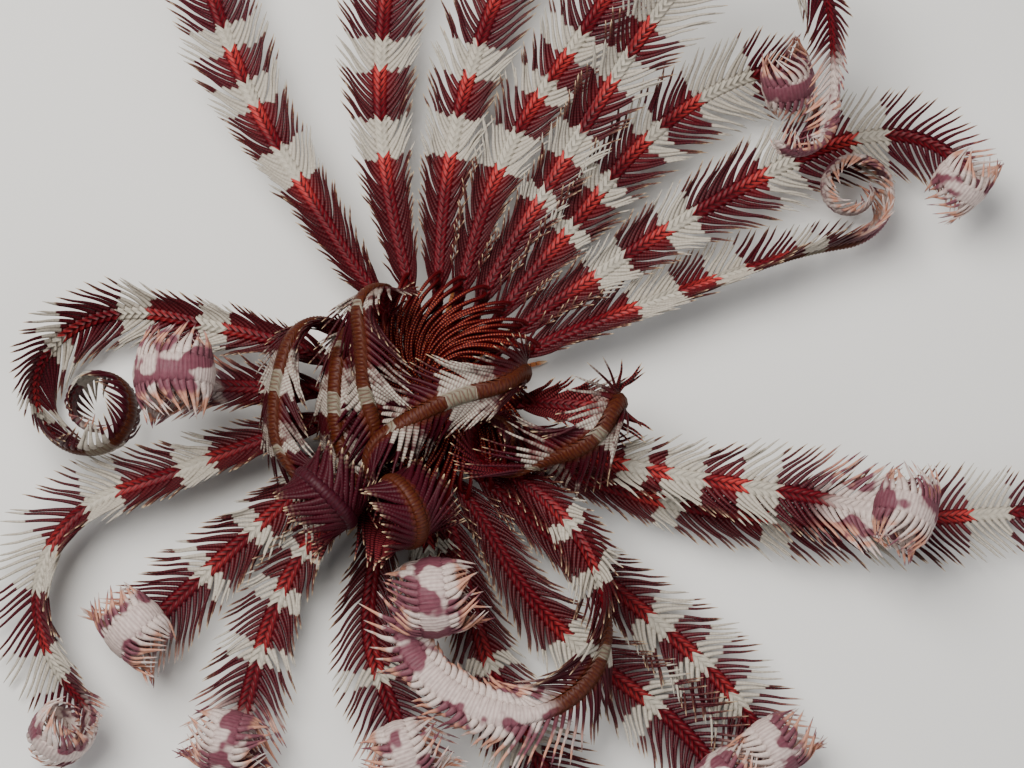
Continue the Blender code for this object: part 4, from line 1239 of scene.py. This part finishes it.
def make_oral_pinnules(scene):
    """The long beaded pinnules that sweep in over the disc from every arm.

    Along each, the radius falls from its root's to its end's, the azimuth gains the
    swirl by a power of the radius lost, and the height rises fast to its top and
    drops a little at the end. Every second ring is a bead.
    """
    orals = scene.star_orals
    surface = Surface(("along", "joint", "facing"))
    draws = np.random.default_rng(ORAL_SEED)
    places = np.array(ORAL_PLACES)
    count = len(places)
    sides = np.where(np.arange(count) % 2, 1.0, -1.0)
    rings = 2 * int(ORAL_LENGTH / (orals.joint / MM)) + 1
    t = np.linspace(0.0, 1.0, rings)
    bead = np.where(np.arange(rings) % 2, 1.0, 0.0)
    thick = orals.radius / MM * (1.0 - 0.4 * t) * (1.0 - 0.5 * ORAL_BEAD + ORAL_BEAD * bead)
    thick = thick * round_end(1.0 - t, 0.04, 0.1)
    angles = around(ORAL_SIDES, math.pi / 2)
    section = flat_sections(np.cos(angles) * thick[:, None], np.sin(angles) * thick[:, None])
    for index in range(ARM_COUNT):
        points, tangents, ups = resample(arm_route(index), places)
        jitter = draws.uniform(-1.0, 1.0, (4, count))
        root = points + np.cross(tangents, ups) * sides[:, None] * 0.4 + ups * 0.3
        first = np.hypot(root[:, 0], root[:, 1])
        turn = np.degrees(np.arctan2(root[:, 1], root[:, 0]))
        last = np.array(ORAL_END_RADII) + ORAL_END_SCATTER * jitter[0]
        fall = t[None] ** (ORAL_FALL_POWER + ORAL_POWER_SCATTER * jitter[1])[:, None]
        radius = first[:, None] * (1.0 - fall) + last[:, None] * fall
        lost = np.clip(1.0 - radius / first[:, None], 0.0, 1.0)
        bow = ORAL_SPREAD * (sides + ORAL_BOW_SCATTER * jitter[2])[:, None]
        swirl = (ORAL_SWIRL + ORAL_SWIRL_SCATTER * jitter[1])[:, None]
        azimuth = (turn[:, None] + swirl * lost ** ORAL_SWIRL_POWER
                   + bow * np.sin(math.pi * np.sqrt(t)))
        top = (np.array(ORAL_TOPS) + ORAL_TOP_SCATTER * jitter[3])[:, None]
        height = root[:, 2:3] + (top - root[:, 2:3]) * (1.0 - (1.0 - t) ** 3)
        path = polar(radius, azimuth, height - ORAL_END_DROP * t ** 3)
        alongs, frames = path_frames(path, np.array([0.0, 0.0, 1.0]))
        sections = np.broadcast_to(section, (count, *section.shape))
        grids = carried(sections, path, alongs, frames)
        values = {"along": t[None, :, None], "joint": bead[None, :, None],
                  "facing": np.sin(angles)[None, None]}
        start = (index + 0.45 + 0.12 * sides) * STRIP
        along = 0.01 + (places / STRIP_LENGTH)[:, None] + np.linspace(0.0, PATCH, rings)
        surface.add(grids, values, (start, PATCH), along)
    item = surface.finish("oral_pinnules", oral_pinnule_material(orals))


def make_cirri(scene):
    """The jointed cirri that grip the ground, and the button that carries them.

    Each cirrus follows its stops from the button down to the floor, with a waist at
    every joint line, and ends in a claw.
    """
    cirri = scene.star_cirri
    surface = Surface(("along", "joint"))
    shares, heights = np.array(CIRRUS_STOPS).T
    draws = np.random.default_rng(CIRRUS_SEED)
    for number in range(CIRRUS_COUNT):
        azimuth = 360.0 / CIRRUS_COUNT * number
        reach = CIRRUS_REACHES[number % len(CIRRUS_REACHES)]
        start = BUTTON_RADIUS - CIRRUS_ROOT_DEPTH
        joints = int((reach - start) / (cirri.joint / MM))
        rings = len(CIRRUS_WAISTS) * joints + 1
        t = np.linspace(0.0, 1.0, rings)
        phase = np.arange(rings) % len(CIRRUS_WAISTS)
        sway = azimuth + CIRRUS_SWAY * draws.uniform(-1.0, 1.0) * t * t
        height = smooth_stations(np.interp(np.linspace(0.0, 1.0, 25), shares, heights), rings)
        thick = cirri.radius / MM * (1.0 - CIRRUS_TAPER * t) * np.array(CIRRUS_WAISTS)[phase]
        thick = thick * round_end(1.0 - t, 0.07, 0.04)
        height = np.maximum(height, thick)
        path = polar(start + t * (reach - start), sway, height)[None]
        alongs, ups = path_frames(path, np.array([0.0, 0.0, 1.0]))
        angles = around(CIRRUS_SIDES)
        sections = flat_sections(CIRRUS_FLATNESS * np.cos(angles) * thick[:, None],
                                 np.sin(angles) * thick[:, None])
        grids = carried(sections[None], path, alongs, ups)
        grids[..., 2] = np.maximum(grids[..., 2], 0.0)
        shape = grids.shape[:3]
        values = {"along": np.broadcast_to(t[None, :, None], shape),
                  "joint": np.broadcast_to((phase > 0)[None, :, None] * 1.0, shape)}
        across = (number / CIRRUS_STRIPS, 0.9 / CIRRUS_STRIPS)
        surface.add(grids, values, across, np.linspace(0.05, 0.95, rings)[None])
    profile = np.array(BUTTON_PROFILE)
    angles = -around(BUTTON_STEPS)
    pits = 1.0 + PIT_DEPTH * np.cos(CIRRUS_COUNT * angles)
    grid = turned(profile[:, :1] * pits, angles, profile[:, 1:])
    values = {"along": np.full(grid.shape[:3], 0.3), "joint": np.ones(grid.shape[:3])}
    across = (CIRRUS_COUNT / CIRRUS_STRIPS, 1.9 / CIRRUS_STRIPS)
    surface.add(grid, values, across, np.linspace(0.05, 0.95, len(profile))[None])
    item = surface.finish("cirri", cirrus_material(cirri))
    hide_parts("centrodorsal")


def make_disc(scene):
    """The soft disc: a dome with granules and grooves, its mouth, and the anal tube.

    The dome turns its profile about Z. Granules are the product of two waves round
    and across it, and a groove runs from the mouth to each ray and forks to the arms.
    """
    disc = scene.star_disc
    surface = Surface(("granule", "groove"))
    profile = np.array(DISC_PROFILE)
    travel = np.concatenate([[0.0], np.cumsum(np.linalg.norm(np.diff(profile, axis=0), axis=1))])
    wanted = np.linspace(0.0, travel[-1], DISC_RINGS)
    radius = np.interp(wanted, travel, profile[:, 0])
    height = np.interp(wanted, travel, profile[:, 1])
    angles = -around(DISC_STEPS)
    turn = np.degrees(angles)[None] % 360.0
    arms = (np.cos(np.radians((turn - FIRST_AZIMUTH) * ARM_COUNT)) + 1.0) / 2
    rays = np.zeros_like(turn)
    for number in range(len(RAY_ARM_COUNTS)):
        axis_azimuth, _ = ray_of_arm(sum(RAY_ARM_COUNTS[:number]))
        apart = np.abs((turn - axis_azimuth + 180.0) % 360.0 - 180.0)
        rays = np.maximum(rays, 1.0 - fade(apart, *RAY_GROOVE))
    out = radius[:, None]
    on_top = fade(height, *DISC_TOP)[:, None]
    groove = on_top * np.where(out > FORK_RADIUS, fade(arms, *ARM_GROOVE), rays)
    wave_out = np.sin(wanted[:, None] * GRANULES_OUT)
    wave_round = np.sin(angles[None] * GRANULES_ROUND + wanted[:, None] * 2.0)
    granule = (wave_out * wave_round + 1) / 2
    rise = disc.granule_size / MM * (granule * 2 - 1) * on_top - GROOVE_DEPTH * groove
    grid = turned(out, angles, height[:, None] + rise)
    values = {"granule": (granule * (1 - groove))[None], "groove": groove[None]}
    surface.add(grid, values, (0.02, 0.96), np.linspace(0.05, 0.7, len(wanted))[None])
    tube = np.array(ANAL_TUBE_STOPS)
    angles = -around(ANAL_TUBE_STEPS)
    levels = np.linspace(tube[0, 0], tube[-1, 0], ANAL_TUBE_RINGS)
    radius = np.interp(levels, tube[:, 0], tube[:, 1])[:, None]
    grid = turned(radius * (1.0 + 0.05 * np.cos(4 * angles)), angles, levels[:, None], ANAL_TUBE)
    values = {"granule": np.full(grid.shape[:3], 0.5), "groove": np.zeros(grid.shape[:3])}
    surface.add(grid, values, (0.02, 0.3), np.linspace(0.75, 0.95, ANAL_TUBE_RINGS)[None])
    item = surface.finish("tegmen", disc_material(disc))
    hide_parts("disc")


def turn_to(item, place, target):
    """Put an object at a place and turn its -Z axis to a target."""
    item.location = place
    item.rotation_euler = (Vector(target) - Vector(place)).to_track_quat("-Z", "Y").to_euler()


def make_floor(stage):
    """A flat pale floor with a faint mottle."""
    half = stage.floor_side / 2
    mesh = bpy.data.meshes.new("floor")
    corners = [(-half, -half, 0.0), (half, -half, 0.0), (half, half, 0.0), (-half, half, 0.0)]
    mesh.from_pydata(corners, [], [(0, 1, 2, 3)])
    item = bpy.data.objects.new("floor", mesh)
    bpy.context.scene.collection.objects.link(item)
    material, tree, shader = new_material("pale_floor")
    shade = mixed(tree, product(tree, noise(tree, 12.0), 0.08), stage.floor, stage.mottle)
    tree.links.new(shade, shader.inputs["Base Color"])
    shader.inputs["Roughness"].default_value = 0.85
    mesh.materials.append(material)


def make_light(name, power, size, place, tint):
    """One soft square light, turned to the model."""
    lamp = bpy.data.lights.new(name, "AREA")
    lamp.energy = power
    lamp.size = size
    lamp.color = tint
    item = bpy.data.objects.new(name, lamp)
    bpy.context.scene.collection.objects.link(item)
    turn_to(item, place, LIT_PLACE)


def make_stage(scene):
    """The floor, two soft lights, a dim sky and the camera at the photo's angle."""
    stage = scene.star_stage
    make_floor(stage)
    target = (stage.aim_right, stage.aim_beyond, 0.0)
    back = (0.0, -math.cos(stage.elevation), math.sin(stage.elevation))
    place = tuple(t + stage.distance * b for t, b in zip(target, back))
    lens = bpy.data.cameras.new("camera")
    lens.lens = stage.lens
    lens.sensor_width = 36.0
    lens.clip_start = 0.01
    camera = bpy.data.objects.new("camera", lens)
    scene.collection.objects.link(camera)
    turn_to(camera, place, target)
    scene.camera = camera
    make_light("key", stage.key, 0.35, (-0.16, 0.12, 0.5), (1.0, 0.98, 0.95))
    make_light("fill", stage.fill, 0.5, (0.4, -0.35, 0.35), (0.95, 0.97, 1.0))
    world = bpy.data.worlds.new("sky")
    world.use_nodes = True
    sky = world.node_tree.nodes["Background"]
    sky.inputs["Color"].default_value = stage.sky
    sky.inputs["Strength"].default_value = stage.sky_strength
    scene.world = world


class STAR_OT_stage(bpy.types.Operator):
    """Make the floor, the lights and the camera"""

    bl_idname = "star.stage"
    bl_label = "Stage"

    def execute(self, context):
        make_stage(context.scene)
        return {"FINISHED"}


class STAR_OT_skin(bpy.types.Operator):
    """Make the skin of the rays and arms"""

    bl_idname = "star.skin"
    bl_label = "Skin"

    def execute(self, context):
        make_skin(context.scene)
        return {"FINISHED"}


class STAR_OT_disc(bpy.types.Operator):
    """Make the disc with its mouth and anal tube"""

    bl_idname = "star.disc"
    bl_label = "Disc"

    def execute(self, context):
        make_disc(context.scene)
        return {"FINISHED"}


class STAR_OT_cirri(bpy.types.Operator):
    """Make the button and its cirri"""

    bl_idname = "star.cirri"
    bl_label = "Cirri"

    def execute(self, context):
        make_cirri(context.scene)
        return {"FINISHED"}


class STAR_OT_pinnules(bpy.types.Operator):
    """Make the pinnules of all arms"""

    bl_idname = "star.pinnules"
    bl_label = "Pinnules"

    def execute(self, context):
        make_pinnules(context.scene)
        return {"FINISHED"}


class STAR_OT_oral_pinnules(bpy.types.Operator):
    """Make the pinnules that arch over the disc"""

    bl_idname = "star.oral_pinnules"
    bl_label = "Oral Pinnules"

    def execute(self, context):
        make_oral_pinnules(context.scene)
        return {"FINISHED"}


SETTINGS = {
    "star_stage": StageSettings,
    "star_skin": SkinSettings,
    "star_marks": MarkingSettings,
    "star_pinnules": PinnuleSettings,
    "star_orals": OralPinnuleSettings,
    "star_cirri": CirrusSettings,
    "star_disc": DiscSettings,
}
OPERATORS = (
    STAR_OT_stage, STAR_OT_skin, STAR_OT_disc, STAR_OT_cirri, STAR_OT_pinnules,
    STAR_OT_oral_pinnules,
)


class STAR_PT_parts(bpy.types.Panel):
    """The pieces of the feather star and their settings"""

    bl_idname = "STAR_PT_parts"
    bl_label = "Feather Star"
    bl_space_type = "VIEW_3D"
    bl_region_type = "UI"
    bl_category = "Feather Star"

    def draw(self, context):
        for operator in OPERATORS:
            self.layout.operator(operator.bl_idname)
        for name, kind in SETTINGS.items():
            box = self.layout.box()
            box.label(text=kind.__doc__)
            for key in kind.__annotations__:
                box.prop(getattr(context.scene, name), key)


def register():
    """Register the settings, the operators and the panel."""
    for kind in (*SETTINGS.values(), *OPERATORS, STAR_PT_parts):
        bpy.utils.register_class(kind)
    for name, kind in SETTINGS.items():
        setattr(bpy.types.Scene, name, PointerProperty(type=kind))


def unregister():
    """Take them away again."""
    for name in SETTINGS:
        delattr(bpy.types.Scene, name)
    for kind in reversed((*SETTINGS.values(), *OPERATORS, STAR_PT_parts)):
        bpy.utils.unregister_class(kind)


def main():
    """Make every piece in order."""
    register()
    bpy.ops.star.stage()
    bpy.ops.star.skin()
    bpy.ops.star.disc()
    bpy.ops.star.cirri()
    bpy.ops.star.pinnules()
    bpy.ops.star.oral_pinnules()
    bpy.context.view_layer.update()


if __name__ == "__main__":
    main()
